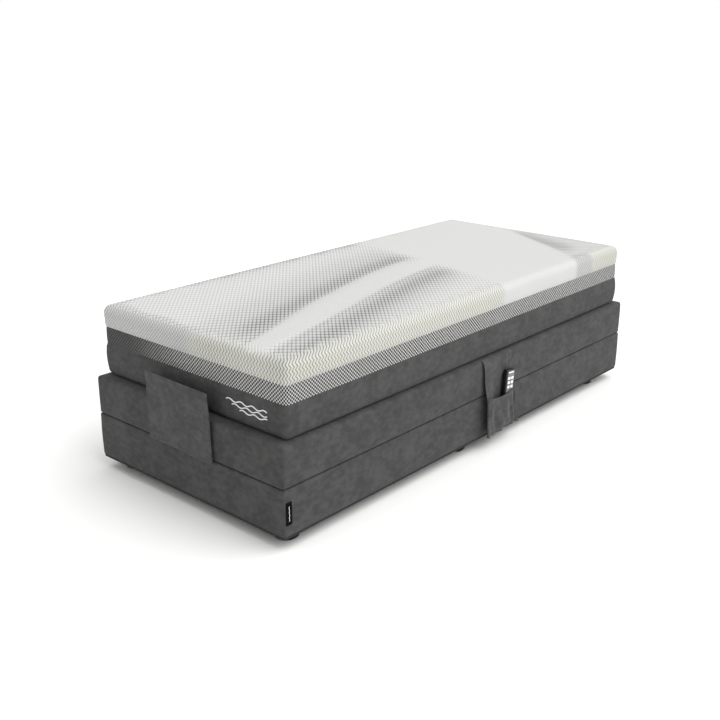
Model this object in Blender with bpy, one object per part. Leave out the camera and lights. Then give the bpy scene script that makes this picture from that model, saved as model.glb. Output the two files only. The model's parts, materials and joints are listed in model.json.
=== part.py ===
"""Adjustable bed base, standard single size, with its mattress, retainer flap and remote pocket.

Run it with: blender --background --python part.py

The base is a low upholstered box on six round feet. A second upholstered layer lies on it in
four sections: back, fixed seat, thigh and leg. Two linear motors under the seat raise the back
and the thigh, and the leg section folds at the knee. The mattress is cut by V grooves where
the sections fold, so that its four blocks stay clear of each other at every angle.

Metres, +Z up. X is across the bed, the foot end is at -Y and the head end at +Y. Shapes are
worked out in the bed's own frame, whose origin is on the floor under the centre of the box, and
the empty named bed moves them so that the whole part is centred on the world's origin.
"""

import math

import bmesh
import bpy
from mathutils import Vector

# Driving dimensions of the upholstered base
BED_WIDTH = 0.930
BED_LENGTH = 2.070
FOOT_HEIGHT = 0.050
BOX_TOP = 0.209
SKIRT_BOTTOM = 0.212
PLATFORM_TOP = 0.350
PANEL_THICKNESS = 0.022
BOARD_THICKNESS = 0.008
PLATFORM_BOTTOM = 0.318
GAP = 0.0003

# Mattress
MATTRESS_WIDTH = 0.900
MATTRESS_LENGTH = 2.000
MATTRESS_BOTTOM = 0.3535
MATTRESS_TOP = 0.605
MATTRESS_LOW_RADIUS = 0.018
MATTRESS_TOP_RADIUS = 0.022
MATTRESS_CORNER = 0.045

# Hinges: place along Y, common height, and travel
HINGE_Z = 0.327
BACK_HINGE_Y = 0.260
THIGH_HINGE_Y = -0.020
KNEE_HINGE_Y = -0.380
BACK_TRAVEL = math.radians(60.0)
THIGH_TRAVEL = math.radians(30.0)
KNEE_RATIO = 1.35
HINGE_ROD_RADIUS = 0.006
EYE_RADIUS = 0.014
FOLD_CLEARANCE = 0.001
PLATFORM_FROM_HINGE = 0.016

# Steel frame
RAIL_WIDTH = 0.030
RAIL_BOTTOM = 0.140
RAIL_TOP = 0.208
CROSSBAR_TOP = 0.166
CROSSBAR_WIDTH = 0.030
ARM_DEPTH = 0.034
BACK_ARM_X = 0.400
LEG_ARM_X = 0.386
ARM_THICKNESS = 0.008

# Motors: pivot and pin places as (y, z), and the side of the bed they are on
BACK_MOTOR_X = 0.090
LEG_MOTOR_X = -0.090
BACK_MOTOR_PIVOT = (-0.120, 0.200)
LEG_MOTOR_PIVOT = (0.300, 0.210)
BACK_LEVER_LENGTH = 0.120
BACK_LEVER_ANGLE = math.radians(-72.0)
LEG_LEVER_LENGTH = 0.150
LEG_LEVER_ANGLE = math.radians(-105.0)
PIN_RADIUS = 0.006
BACK_SLOT_RADIUS = 0.0155
LEG_SLOT_RADIUS = 0.0095
LEVER_THICKNESS = 0.008
MOTOR_TUBE_RADIUS = 0.020
MOTOR_ROD_RADIUS = 0.010

# Feet
FOOT_RADIUS = 0.045
FOOT_X = 0.385
FOOT_PLACES_Y = (-0.950, -0.070, 0.880)

# Pocket for the remote handset, on the +X side
POCKET_PROUD = 0.034
POCKET_Y = 0.0
POCKET_TOP_WIDTH = 0.160
POCKET_LOW_WIDTH = 0.190
POCKET_BOTTOM = 0.052
POUCH_LIP_Z = (0.208, 0.196)
CLOTH = 0.003

# Handset
HANDSET_TILT = math.radians(6.0)
HANDSET_BASE = (0.118, 0.126)
HANDSET_LENGTH = 0.160
HANDSET_WIDTH = 0.052
HANDSET_DEPTH = 0.020
BUTTON_ROWS = 3
BUTTON_SIZE = (0.014, 0.010)
BUTTON_PITCH = (0.021, 0.017)
BUTTON_FIRST_ROW = 0.127
BUTTON_PROUD = 0.0015
BUTTON_SINK = 0.0030

# Retainer flap on the foot end
FLAP_X = (-0.158, 0.158)
FLAP_BOTTOM = 0.203
FLAP_TOP = 0.445
FLAP_THICKNESS = 0.012
FLAP_SEAM = (0.260, 0.290)
FLAP_STANDOFF = 0.005

HALF_WIDTH = BED_WIDTH / 2
HALF_LENGTH = BED_LENGTH / 2
INNER_X = HALF_WIDTH - PANEL_THICKNESS - GAP
INNER_Y = HALF_LENGTH - PANEL_THICKNESS - GAP
RAIL_X = (INNER_X - 0.0027 - RAIL_WIDTH, INNER_X - 0.0027)
UPRIGHT_X = (RAIL_X[0] + 0.002, RAIL_X[0] + 0.008)
ARM_TOP = PLATFORM_BOTTOM - GAP
FLAP_PROUD = FLAP_STANDOFF + FLAP_THICKNESS
CENTRE_SHIFT = Vector((-POCKET_PROUD / 2, FLAP_PROUD / 2, 0.0))

MATERIALS = {
    "upholstery": ((0.088, 0.088, 0.090), 0.95, 0.0),
    "mattress_border": ((0.080, 0.080, 0.083), 0.95, 0.0),
    "mattress_knit": ((0.720, 0.720, 0.700), 0.90, 0.0),
    "board": ((0.420, 0.300, 0.180), 0.60, 0.0),
    "frame_steel": ((0.030, 0.030, 0.032), 0.45, 0.6),
    "zinc_steel": ((0.560, 0.570, 0.580), 0.35, 1.0),
    "foot_plastic": ((0.015, 0.015, 0.016), 0.55, 0.0),
    "motor_plastic": ((0.035, 0.036, 0.038), 0.50, 0.0),
    "handset_plastic": ((0.020, 0.020, 0.022), 0.35, 0.0),
    "button_rubber": ((0.750, 0.750, 0.740), 0.55, 0.0),
}


def clear_scene():
    """Remove whatever the file opened with."""
    for item in list(bpy.data.objects):
        bpy.data.objects.remove(item, do_unlink=True)


def make_material(name):
    """One Principled material from its row in MATERIALS."""
    colour, roughness, metallic = MATERIALS[name]
    material = bpy.data.materials.new(name)
    material.use_nodes = True
    shader = material.node_tree.nodes["Principled BSDF"]
    shader.inputs["Base Color"].default_value = (*colour, 1.0)
    shader.inputs["Roughness"].default_value = roughness
    shader.inputs["Metallic"].default_value = metallic
    material.diffuse_color = (*colour, 1.0)
    return material


def make_empty(name, parent, place, turn_x=0.0):
    """An empty on a joint's axis: the pieces that move on the joint are its children.

    place is in the bed's frame. The returned empty keeps it, so that meshes worked out in the
    bed's frame can be moved to the empty's own.
    """
    empty = bpy.data.objects.new(name, None)
    bpy.context.collection.objects.link(empty)
    empty.parent = parent
    offset = Vector(place) - Vector(parent["bed_place"]) if parent else Vector(place)
    empty.location = offset
    empty.rotation_euler = (turn_x, 0.0, 0.0)
    empty["bed_place"] = tuple(place) if parent else (0.0, 0.0, 0.0)
    return empty


def add_object(name, bm, parent, material, in_bed_frame=True):
    """Turn a bmesh into a named object under its parent empty."""
    bmesh.ops.recalc_face_normals(bm, faces=bm.faces)
    if in_bed_frame:
        bmesh.ops.translate(bm, vec=-Vector(parent["bed_place"]), verts=bm.verts)
    mesh = bpy.data.meshes.new(name)
    bm.to_mesh(mesh)
    bm.free()
    item = bpy.data.objects.new(name, mesh)
    bpy.context.collection.objects.link(item)
    item.parent = parent
    if material:
        mesh.materials.append(bpy.data.materials[material])
    return item


def shade_round(item):
    """Smooth shading that keeps edges over 35 degrees sharp."""
    item.data.shade_smooth()
    item.data.set_sharp_from_angle(angle=math.radians(35.0))
    return item


def bevel(item, width, segments=2):
    """Round every edge sharper than 35 degrees."""
    modifier = item.modifiers.new("edges", "BEVEL")
    modifier.width = width
    modifier.segments = segments
    modifier.limit_method = "ANGLE"
    modifier.angle_limit = math.radians(35.0)
    return item


def combine(item, other, operation):
    """Cut a helper shape out of an object, or join it on, and hide the helper."""
    modifier = item.modifiers.new(operation.lower(), "BOOLEAN")
    modifier.operation = operation
    modifier.object = other
    modifier.solver = "EXACT"
    other.hide_render = True
    other.display_type = "WIRE"
    return item


def box_mesh(low, high):
    """A box between two corners."""
    bm = bmesh.new()
    bmesh.ops.create_cube(bm, size=1.0)
    low, high = Vector(low), Vector(high)
    for vert in bm.verts:
        vert.co = Vector(low[i] + (vert.co[i] + 0.5) * (high[i] - low[i]) for i in range(3))
    return bm


def box(name, low, high, parent, material=None, in_bed_frame=True):
    """A box object."""
    return add_object(name, box_mesh(low, high), parent, material, in_bed_frame)


def plate(name, outline, x_low, x_high, parent, material=None, in_bed_frame=True):
    """A plate: an outline in the YZ plane, as (y, z) points, pushed out along X."""
    bm = bmesh.new()
    face = bm.faces.new([bm.verts.new((x_low, y, z)) for y, z in outline])
    pushed = bmesh.ops.extrude_face_region(bm, geom=[face])
    moved = [v for v in pushed["geom"] if isinstance(v, bmesh.types.BMVert)]
    bmesh.ops.translate(bm, vec=(x_high - x_low, 0.0, 0.0), verts=moved)
    return add_object(name, bm, parent, material, in_bed_frame)


def arc(centre, radius, start_degrees, end_degrees, steps):
    """Points along an arc in the YZ plane, both ends included."""
    points = []
    for step in range(steps + 1):
        angle = math.radians(start_degrees + (end_degrees - start_degrees) * step / steps)
        points.append((centre[0] + radius * math.cos(angle), centre[1] + radius * math.sin(angle)))
    return points


def circle(centre, radius, steps=24):
    """A closed circle of points in the YZ plane."""
    return arc(centre, radius, 0.0, 360.0, steps)[:-1]


def bar_along_y(name, start_y, end_y, radius, parent, x=0.0, z=0.0, sides=24, material=None):
    """A round bar along Y, in its parent's own frame."""
    bm = bmesh.new()
    bmesh.ops.create_cone(
        bm, cap_ends=True, segments=sides, radius1=radius, radius2=radius, depth=end_y - start_y
    )
    for vert in bm.verts:
        vert.co = Vector((vert.co.x + x, -vert.co.z + (start_y + end_y) / 2, vert.co.y + z))
    return shade_round(add_object(name, bm, parent, material, in_bed_frame=False))


# The box ---------------------------------------------------------------------------------------


def build_box(bed):
    """Four upholstered panels round a bottom board."""
    for side, sign in (("left", -1), ("right", 1)):
        low_x, high_x = sorted((sign * (HALF_WIDTH - PANEL_THICKNESS), sign * HALF_WIDTH))
        panel = box(
            f"side_panel_{side}",
            (low_x, -HALF_LENGTH, FOOT_HEIGHT),
            (high_x, HALF_LENGTH, BOX_TOP),
            bed,
            "upholstery",
        )
        bevel(panel, 0.006)
    for end, sign in (("foot", -1), ("head", 1)):
        low_y, high_y = sorted((sign * (HALF_LENGTH - PANEL_THICKNESS), sign * HALF_LENGTH))
        panel = box(
            f"{end}_panel",
            (-INNER_X, low_y, FOOT_HEIGHT),
            (INNER_X, high_y, BOX_TOP),
            bed,
            "upholstery",
        )
        bevel(panel, 0.004)
    box(
        "bottom_board",
        (-INNER_X, -INNER_Y, FOOT_HEIGHT),
        (INNER_X, INNER_Y, FOOT_HEIGHT + BOARD_THICKNESS),
        bed,
        "board",
    )


def build_feet(bed):
    """Six round feet under the bottom board, three on each side."""
    for side, sign in (("left", -1), ("right", 1)):
        for place, y in zip(("foot_end", "middle", "head_end"), FOOT_PLACES_Y):
            bm = bmesh.new()
            height = FOOT_HEIGHT - GAP
            bmesh.ops.create_cone(
                bm,
                cap_ends=True,
                segments=32,
                radius1=FOOT_RADIUS * 0.94,
                radius2=FOOT_RADIUS,
                depth=height,
            )
            bmesh.ops.translate(bm, vec=(sign * FOOT_X, y, height / 2), verts=bm.verts)
            foot = add_object(f"foot_{place}_{side}", bm, bed, "foot_plastic")
            bevel(shade_round(foot), 0.003)


def build_side_frames(bed):
    """Each side's rail, with the upright that carries both hinge rods welded to it."""
    ear_back = (BACK_HINGE_Y, HINGE_Z)
    ear_thigh = (THIGH_HINGE_Y, HINGE_Z)
    outline = [
        (THIGH_HINGE_Y - 0.060, RAIL_TOP - 0.010),
        (BACK_HINGE_Y + 0.060, RAIL_TOP - 0.010),
        *arc(ear_back, EYE_RADIUS, -30.0, 215.0, 10),
        (BACK_HINGE_Y - 0.022, ARM_TOP),
        (THIGH_HINGE_Y + 0.022, ARM_TOP),
        *arc(ear_thigh, EYE_RADIUS, -35.0, 210.0, 10),
    ]
    for side, sign in (("left", -1), ("right", 1)):
        low_x, high_x = sorted(sign * x for x in RAIL_X)
        rail = box(
            f"side_frame_{side}",
            (low_x, -INNER_Y + 0.002, RAIL_BOTTOM),
            (high_x, INNER_Y - 0.002, RAIL_TOP),
            bed,
            "frame_steel",
        )
        low_x, high_x = sorted(sign * x for x in UPRIGHT_X)
        upright = plate(f"upright_{side}", outline, low_x, high_x, bed)
        combine(rail, upright, "UNION")


def build_hinge_rod(name, y, half_length, parent):
    """A round steel rod across the bed that sections turn on."""
    rod = plate(
        name,
        circle((y, HINGE_Z), HINGE_ROD_RADIUS, 16),
        -half_length,
        half_length,
        parent,
        "zinc_steel",
    )
    return shade_round(rod)


# Upholstered sections --------------------------------------------------------------------------


def end_profile(y, inward, slope_above, slope_below):
    """Bottom-to-top points of a skirt's end, cut back from the hinge line where it folds."""
    above = PLATFORM_TOP - HINGE_Z
    below = HINGE_Z - SKIRT_BOTTOM
    return [
        (y + inward * (FOLD_CLEARANCE + below * slope_below), SKIRT_BOTTOM),
        (y + inward * FOLD_CLEARANCE, HINGE_Z),
        (y + inward * (FOLD_CLEARANCE + above * slope_above), PLATFORM_TOP),
    ]


def straight_profile(y):
    """Bottom-to-top points of a skirt's square end."""
    return [(y, SKIRT_BOTTOM), (y, PLATFORM_TOP)]


def build_side_skirts(section, low_profile, high_profile, parent):
    """The left and right upholstered skirts of one section."""
    outline = [low_profile[0], *high_profile, *reversed(low_profile[1:])]
    for side, sign in (("left", -1), ("right", 1)):
        low_x, high_x = sorted((sign * (HALF_WIDTH - PANEL_THICKNESS), sign * HALF_WIDTH))
        skirt = plate(f"{section}_skirt_{side}", outline, low_x, high_x, parent, "upholstery")
        bevel(skirt, 0.006)


def build_end_skirt(name, sign, parent):
    """The skirt across the head end or the foot end."""
    low_y, high_y = sorted((sign * (HALF_LENGTH - PANEL_THICKNESS), sign * HALF_LENGTH))
    skirt = box(
        name,
        (-INNER_X, low_y, SKIRT_BOTTOM),
        (INNER_X, high_y, PLATFORM_TOP),
        parent,
        "upholstery",
    )
    bevel(skirt, 0.005)


def build_platform(name, low_y, high_y, parent):
    """The padded board that the mattress lies on."""
    platform = box(
        name,
        (-INNER_X, low_y, PLATFORM_BOTTOM),
        (INNER_X, high_y, PLATFORM_TOP),
        parent,
        "upholstery",
    )
    bevel(platform, 0.004)


def fold_slopes():
    """How far, per metre from the hinge, each hinge's parts are cut back: tan of half the fold."""
    knee = KNEE_RATIO * THIGH_TRAVEL
    return math.tan(BACK_TRAVEL / 2), math.tan(THIGH_TRAVEL / 2), math.tan(knee / 2)


def build_sections(bed, back, thigh, leg):
    """Platforms and skirts of the seat, back, thigh and leg."""
    back_slope, thigh_slope, knee_slope = fold_slopes()
    build_side_skirts(
        "seat",
        end_profile(THIGH_HINGE_Y, 1, thigh_slope, 0.0),
        end_profile(BACK_HINGE_Y, -1, back_slope, 0.0),
        bed,
    )
    build_side_skirts(
        "back", end_profile(BACK_HINGE_Y, 1, back_slope, 0.0), straight_profile(HALF_LENGTH), back
    )
    build_side_skirts(
        "thigh",
        end_profile(KNEE_HINGE_Y, 1, 0.0, knee_slope),
        end_profile(THIGH_HINGE_Y, -1, thigh_slope, 0.0),
        thigh,
    )
    build_side_skirts(
        "leg", straight_profile(-HALF_LENGTH), end_profile(KNEE_HINGE_Y, -1, 0.0, knee_slope), leg
    )
    build_end_skirt("back_skirt_end", 1, back)
    build_end_skirt("leg_skirt_end", -1, leg)
    inset = PLATFORM_FROM_HINGE
    build_platform("seat_platform", THIGH_HINGE_Y + inset, BACK_HINGE_Y - inset, bed)
    build_platform("back_platform", BACK_HINGE_Y + inset, INNER_Y, back)
    build_platform("thigh_platform", KNEE_HINGE_Y + inset, THIGH_HINGE_Y - inset, thigh)
    build_platform("leg_platform", -INNER_Y, KNEE_HINGE_Y - inset, leg)


def build_arms(section, eyes, end_y, centre_x, parent):
    """A pair of flat steel arms under a section, with an eye for each hinge rod in eyes.

    end_y is where the free end of an arm with one eye stops. An arm with two eyes has none.
    """
    bottom = ARM_TOP - ARM_DEPTH
    low_y = min(eyes)
    high_y = max(eyes)
    if len(eyes) == 1:
        low_y, high_y = sorted((eyes[0], end_y))
    low_end = [(low_y, ARM_TOP), (low_y, bottom)]
    if low_y in eyes:
        low_end = arc((low_y, HINGE_Z), EYE_RADIUS, 40.0, 225.0, 10)
        low_end.append((low_y + ARM_DEPTH, bottom))
    high_end = [(high_y, bottom), (high_y, ARM_TOP)]
    if high_y in eyes:
        high_end = [(high_y - ARM_DEPTH, bottom)]
        high_end.extend(arc((high_y, HINGE_Z), EYE_RADIUS, -45.0, 140.0, 10))
    # The top edge drops from each eye to the underside of the platform.
    top_low = [(low_y + EYE_RADIUS, ARM_TOP)] if low_y in eyes else []
    top_high = [(high_y - EYE_RADIUS, ARM_TOP)] if high_y in eyes else []
    outline = [*low_end, *high_end, *top_high, *top_low]
    for side, sign in (("left", -1), ("right", 1)):
        low_x = sign * centre_x - ARM_THICKNESS / 2
        arm = plate(
            f"{section}_arm_{side}", outline, low_x, low_x + ARM_THICKNESS, parent, "frame_steel"
        )
        for number, eye_y in enumerate(eyes):
            hole = plate(
                f"{section}_eye_cutter_{side}_{number}",
                circle((eye_y, HINGE_Z), HINGE_ROD_RADIUS + 0.0005, 24),
                low_x - 0.002,
                low_x + ARM_THICKNESS + 0.002,
                parent,
            )
            combine(arm, hole, "DIFFERENCE")


# Motors ----------------------------------------------------------------------------------------


def lever_pin(hinge_y, length, angle):
    """Where a lever's pin is at rest, as (y, z)."""
    return hinge_y + length * math.cos(angle), HINGE_Z + length * math.sin(angle)


def build_lever(name, pin, outward, slot_radius, centre_x, parent):
    """The lever plate under a section, from the platform down to its slotted pin hole."""
    end_radius = slot_radius + 0.011
    foot_a = (pin[0] + outward * 0.045, ARM_TOP)
    foot_b = (pin[0] + outward * 0.165, ARM_TOP)
    # The round end, from the side that leads up to foot_b to the side that leads up to foot_a.
    if outward > 0:
        round_end = arc(pin, end_radius, 150.0, 320.0, 12)
        outline = [foot_a, *round_end, foot_b]
    else:
        round_end = arc(pin, end_radius, 220.0, 390.0, 12)
        outline = [foot_b, *round_end, foot_a]
    low_x = centre_x - LEVER_THICKNESS / 2
    high_x = centre_x + LEVER_THICKNESS / 2
    lever = plate(name, outline, low_x, high_x, parent, "frame_steel")
    hole = plate(
        f"{name}_cutter", circle(pin, slot_radius, 24), low_x - 0.002, high_x + 0.002, parent
    )
    combine(lever, hole, "DIFFERENCE")


def build_crossbar(name, pivot, centre_x, bed):
    """A tube between the rails, with two ears and the pin that a motor tilts on."""
    bar = box(
        name,
        (-RAIL_X[0] + GAP, pivot[0] - CROSSBAR_WIDTH / 2, RAIL_BOTTOM),
        (RAIL_X[0] - GAP, pivot[0] + CROSSBAR_WIDTH / 2, CROSSBAR_TOP),
        bed,
        "frame_steel",
    )
    foot_z = CROSSBAR_TOP - 0.008
    outline = [
        (pivot[0] - EYE_RADIUS, foot_z),
        (pivot[0] + EYE_RADIUS, foot_z),
        *arc(pivot, EYE_RADIUS, 0.0, 180.0, 10),
    ]
    for number, sign in enumerate((-1, 1)):
        low_x, high_x = sorted((centre_x + sign * 0.014, centre_x + sign * 0.019))
        ear = plate(f"{name}_ear_{number}", outline, low_x, high_x, bed)
        combine(bar, ear, "UNION")
    pin = plate(
        f"{name}_pin", circle(pivot, PIN_RADIUS, 16), centre_x - 0.022, centre_x + 0.022, bed
    )
    combine(bar, pin, "UNION")


def build_motor(section, pivot, pin, centre_x, motor_side, bed):
    """A linear motor: the housing tilts on its pivot, and the rod slides out to the lever's pin.

    Both are modelled along local +Y from the pivot, under an empty that points at the pin.
    """
    run_y = pin[0] - pivot[0]
    run_z = pin[1] - pivot[1]
    reach = math.hypot(run_y, run_z)
    tilt = math.atan2(run_z, run_y)
    axis = make_empty(f"{section}_motor_axis", bed, (centre_x, *pivot), tilt)
    eye_width = 0.024
    housing = plate(
        f"{section}_motor_housing",
        circle((0.0, 0.0), EYE_RADIUS, 24),
        -eye_width / 2,
        eye_width / 2,
        axis,
        "motor_plastic",
        in_bed_frame=False,
    )
    gearbox = box(
        f"{section}_gearbox",
        (min(-0.026, motor_side * 0.070), 0.024, -0.030),
        (max(0.026, motor_side * 0.070), 0.085, 0.030),
        axis,
        in_bed_frame=False,
    )
    neck = box(
        f"{section}_neck",
        (-eye_width / 2, 0.004, -0.011),
        (eye_width / 2, 0.030, 0.011),
        axis,
        in_bed_frame=False,
    )
    tube_end = reach - 0.085
    tube = bar_along_y(f"{section}_tube", 0.060, tube_end, MOTOR_TUBE_RADIUS, axis)
    can = bar_along_y(f"{section}_can", 0.070, 0.175, 0.025, axis, x=motor_side * 0.047)
    for piece in (neck, gearbox, tube, can):
        combine(housing, piece, "UNION")
    bore = bar_along_y(f"{section}_bore", 0.090, reach, MOTOR_ROD_RADIUS + 0.0006, axis)
    eye_hole = plate(
        f"{section}_eye_hole",
        circle((0.0, 0.0), PIN_RADIUS + 0.0005, 24),
        -0.030,
        0.030,
        axis,
        in_bed_frame=False,
    )
    combine(housing, bore, "DIFFERENCE")
    combine(housing, eye_hole, "DIFFERENCE")
    rod = bar_along_y(
        f"{section}_motor_rod",
        0.100,
        reach - 0.060,
        MOTOR_ROD_RADIUS,
        axis,
        material="zinc_steel",
    )
    block = box(
        f"{section}_fork_block",
        (-0.0135, reach - 0.076, -0.0125),
        (0.0135, reach - 0.048, 0.0125),
        axis,
        in_bed_frame=False,
    )
    cheek_outline = [
        (reach - 0.052, -0.011),
        *arc((reach, 0.0), 0.0125, -90.0, 90.0, 10),
        (reach - 0.052, 0.011),
    ]
    cheeks = []
    for number, sign in enumerate((-1, 1)):
        low_x, high_x = sorted((sign * 0.0055, sign * 0.0125))
        cheeks.append(
            plate(
                f"{section}_cheek_{number}",
                cheek_outline,
                low_x,
                high_x,
                axis,
                in_bed_frame=False,
            )
        )
    fork_pin = plate(
        f"{section}_fork_pin",
        circle((reach, 0.0), PIN_RADIUS, 16),
        -0.010,
        0.010,
        axis,
        in_bed_frame=False,
    )
    for piece in (block, *cheeks, fork_pin):
        combine(rod, piece, "UNION")


def build_mechanism(bed, back, thigh):
    """Both motors with their crossbars and levers, and the control box under the seat."""
    back_pin = lever_pin(BACK_HINGE_Y, BACK_LEVER_LENGTH, BACK_LEVER_ANGLE)
    leg_pin = lever_pin(THIGH_HINGE_Y, LEG_LEVER_LENGTH, LEG_LEVER_ANGLE)
    build_lever("back_lever", back_pin, 1, BACK_SLOT_RADIUS, BACK_MOTOR_X, back)
    build_lever("thigh_lever", leg_pin, -1, LEG_SLOT_RADIUS, LEG_MOTOR_X, thigh)
    build_crossbar("back_motor_crossbar", BACK_MOTOR_PIVOT, BACK_MOTOR_X, bed)
    build_crossbar("leg_motor_crossbar", LEG_MOTOR_PIVOT, LEG_MOTOR_X, bed)
    build_motor("back", BACK_MOTOR_PIVOT, back_pin, BACK_MOTOR_X, 1, bed)
    build_motor("leg", LEG_MOTOR_PIVOT, leg_pin, LEG_MOTOR_X, -1, bed)
    control = box(
        "control_box", (-0.370, 0.030, 0.272), (-0.210, 0.210, ARM_TOP), bed, "motor_plastic"
    )
    inlet = box("inlet_cutter", (-0.310, 0.020, 0.282), (-0.282, 0.045, 0.302), bed)
    combine(bevel(control, 0.005), inlet, "DIFFERENCE")


# Mattress --------------------------------------------------------------------------------------


def mattress_levels():
    """Heights of the mattress's outlines, each with how far its outline is set in.

    The lower edge and the top edge are quarter circles.
    """
    steps = 4
    levels = []
    for step in range(steps + 1):
        angle = math.radians(90.0 * step / steps)
        inset = MATTRESS_LOW_RADIUS * (1.0 - math.sin(angle))
        levels.append((MATTRESS_BOTTOM + MATTRESS_LOW_RADIUS * (1.0 - math.cos(angle)), inset))
    for step in range(steps + 1):
        angle = math.radians(90.0 * step / steps)
        inset = MATTRESS_TOP_RADIUS * (1.0 - math.cos(angle))
        levels.append((MATTRESS_TOP - MATTRESS_TOP_RADIUS * (1.0 - math.sin(angle)), inset))
    return levels


def corner_points(centre_x, centre_y, radius, start_degrees, steps=5):
    """A quarter circle in plan, turning left."""
    points = []
    for step in range(steps + 1):
        angle = math.radians(start_degrees + 90.0 * step / steps)
        points.append((centre_x + radius * math.cos(angle), centre_y + radius * math.sin(angle)))
    return points


def build_mattress_block(name, foot_side, head_side, parent):
    """One block of the mattress, as outlines stacked from its underside to its top.

    Each side is (y, slope, rounded): a rounded side is an end of the mattress, and the other
    sides stand back from their hinge by slope times the height over it.
    """
    bm = bmesh.new()
    rings = []
    for z, inset in mattress_levels():
        places = []
        radii = []
        for (y, slope, rounded), inward in ((foot_side, 1), (head_side, -1)):
            fold = FOLD_CLEARANCE + (z - HINGE_Z) * slope
            places.append(y + inward * (inset if rounded else fold))
            radii.append(max(MATTRESS_CORNER - inset, 0.006) if rounded else 0.006)
        half = MATTRESS_WIDTH / 2 - inset
        low_y, high_y = places
        low_r, high_r = radii
        outline = [
            *corner_points(half - high_r, high_y - high_r, high_r, 0.0),
            *corner_points(-half + high_r, high_y - high_r, high_r, 90.0),
            *corner_points(-half + low_r, low_y + low_r, low_r, 180.0),
            *corner_points(half - low_r, low_y + low_r, low_r, 270.0),
        ]
        rings.append([bm.verts.new((x, y, z)) for x, y in outline])
    count = len(rings[0])
    for lower, upper in zip(rings, rings[1:]):
        for i in range(count):
            j = (i + 1) % count
            bm.faces.new((lower[i], lower[j], upper[j], upper[i]))
    bm.faces.new(list(reversed(rings[0])))
    bm.faces.new(rings[-1])
    shade_round(add_object(name, bm, parent, "mattress_border"))


def build_mattress(bed, back, thigh, leg):
    """Four blocks, one to a section."""
    back_slope, thigh_slope, _ = fold_slopes()
    end = MATTRESS_LENGTH / 2
    build_mattress_block(
        "mattress_seat", (THIGH_HINGE_Y, thigh_slope, False), (BACK_HINGE_Y, back_slope, False), bed
    )
    build_mattress_block(
        "mattress_back", (BACK_HINGE_Y, back_slope, False), (end, 0.0, True), back
    )
    build_mattress_block(
        "mattress_thigh", (KNEE_HINGE_Y, 0.0, False), (THIGH_HINGE_Y, thigh_slope, False), thigh
    )
    build_mattress_block("mattress_leg", (-end, 0.0, True), (KNEE_HINGE_Y, 0.0, False), leg)


def build_flap(leg):
    """The stiff upright flap on the foot end. A tongue on its back is sewn to the skirt."""
    outer = -HALF_LENGTH - FLAP_PROUD
    inner = outer + FLAP_THICKNESS
    sewn = -HALF_LENGTH - GAP
    outline = [
        (outer, FLAP_BOTTOM),
        (inner, FLAP_BOTTOM),
        (inner, FLAP_SEAM[0] - 0.004),
        (sewn, FLAP_SEAM[0]),
        (sewn, FLAP_SEAM[1]),
        (inner, FLAP_SEAM[1] + 0.004),
        (inner, FLAP_TOP),
        (outer, FLAP_TOP),
    ]
    flap = plate("mattress_flap", outline, FLAP_X[0], FLAP_X[1], leg, "upholstery")
    bevel(flap, 0.004)


# Pocket and handset ----------------------------------------------------------------------------


def pocket_width(z):
    """The pocket widens evenly from its top to its bottom edge."""
    share = (PLATFORM_TOP - z) / (PLATFORM_TOP - POCKET_BOTTOM)
    return POCKET_TOP_WIDTH + (POCKET_LOW_WIDTH - POCKET_TOP_WIDTH) * share


def build_pocket(bed):
    """The hanging cloth of the pocket, and the pouch sewn on its front."""
    back_x = HALF_WIDTH + 0.0015
    pouch_x = back_x + CLOTH + GAP
    front_x = HALF_WIDTH + POCKET_PROUD
    outline = [
        (POCKET_Y, POCKET_BOTTOM),
        (POCKET_Y + POCKET_LOW_WIDTH, POCKET_BOTTOM),
        (POCKET_Y + POCKET_TOP_WIDTH, PLATFORM_TOP),
        (POCKET_Y, PLATFORM_TOP),
    ]
    plate("pocket_back", outline, back_x, back_x + CLOTH, bed, "upholstery")
    lip_low, lip_high = POUCH_LIP_Z
    outline = [
        (POCKET_Y, POCKET_BOTTOM),
        (POCKET_Y + POCKET_LOW_WIDTH, POCKET_BOTTOM),
        (POCKET_Y + pocket_width(lip_high), lip_high),
        (POCKET_Y, lip_low),
    ]
    pouch = plate("pocket_pouch", outline, pouch_x, front_x, bed, "upholstery")
    inside = [
        (POCKET_Y + CLOTH, POCKET_BOTTOM + CLOTH),
        (POCKET_Y + POCKET_LOW_WIDTH - CLOTH, POCKET_BOTTOM + CLOTH),
        (POCKET_Y + pocket_width(lip_low) - CLOTH, lip_low + 0.010),
        (POCKET_Y + CLOTH, lip_low + 0.010),
    ]
    hollow = plate("pouch_cutter", inside, pouch_x - 0.010, front_x - CLOTH, bed)
    combine(pouch, hollow, "DIFFERENCE")


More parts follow.
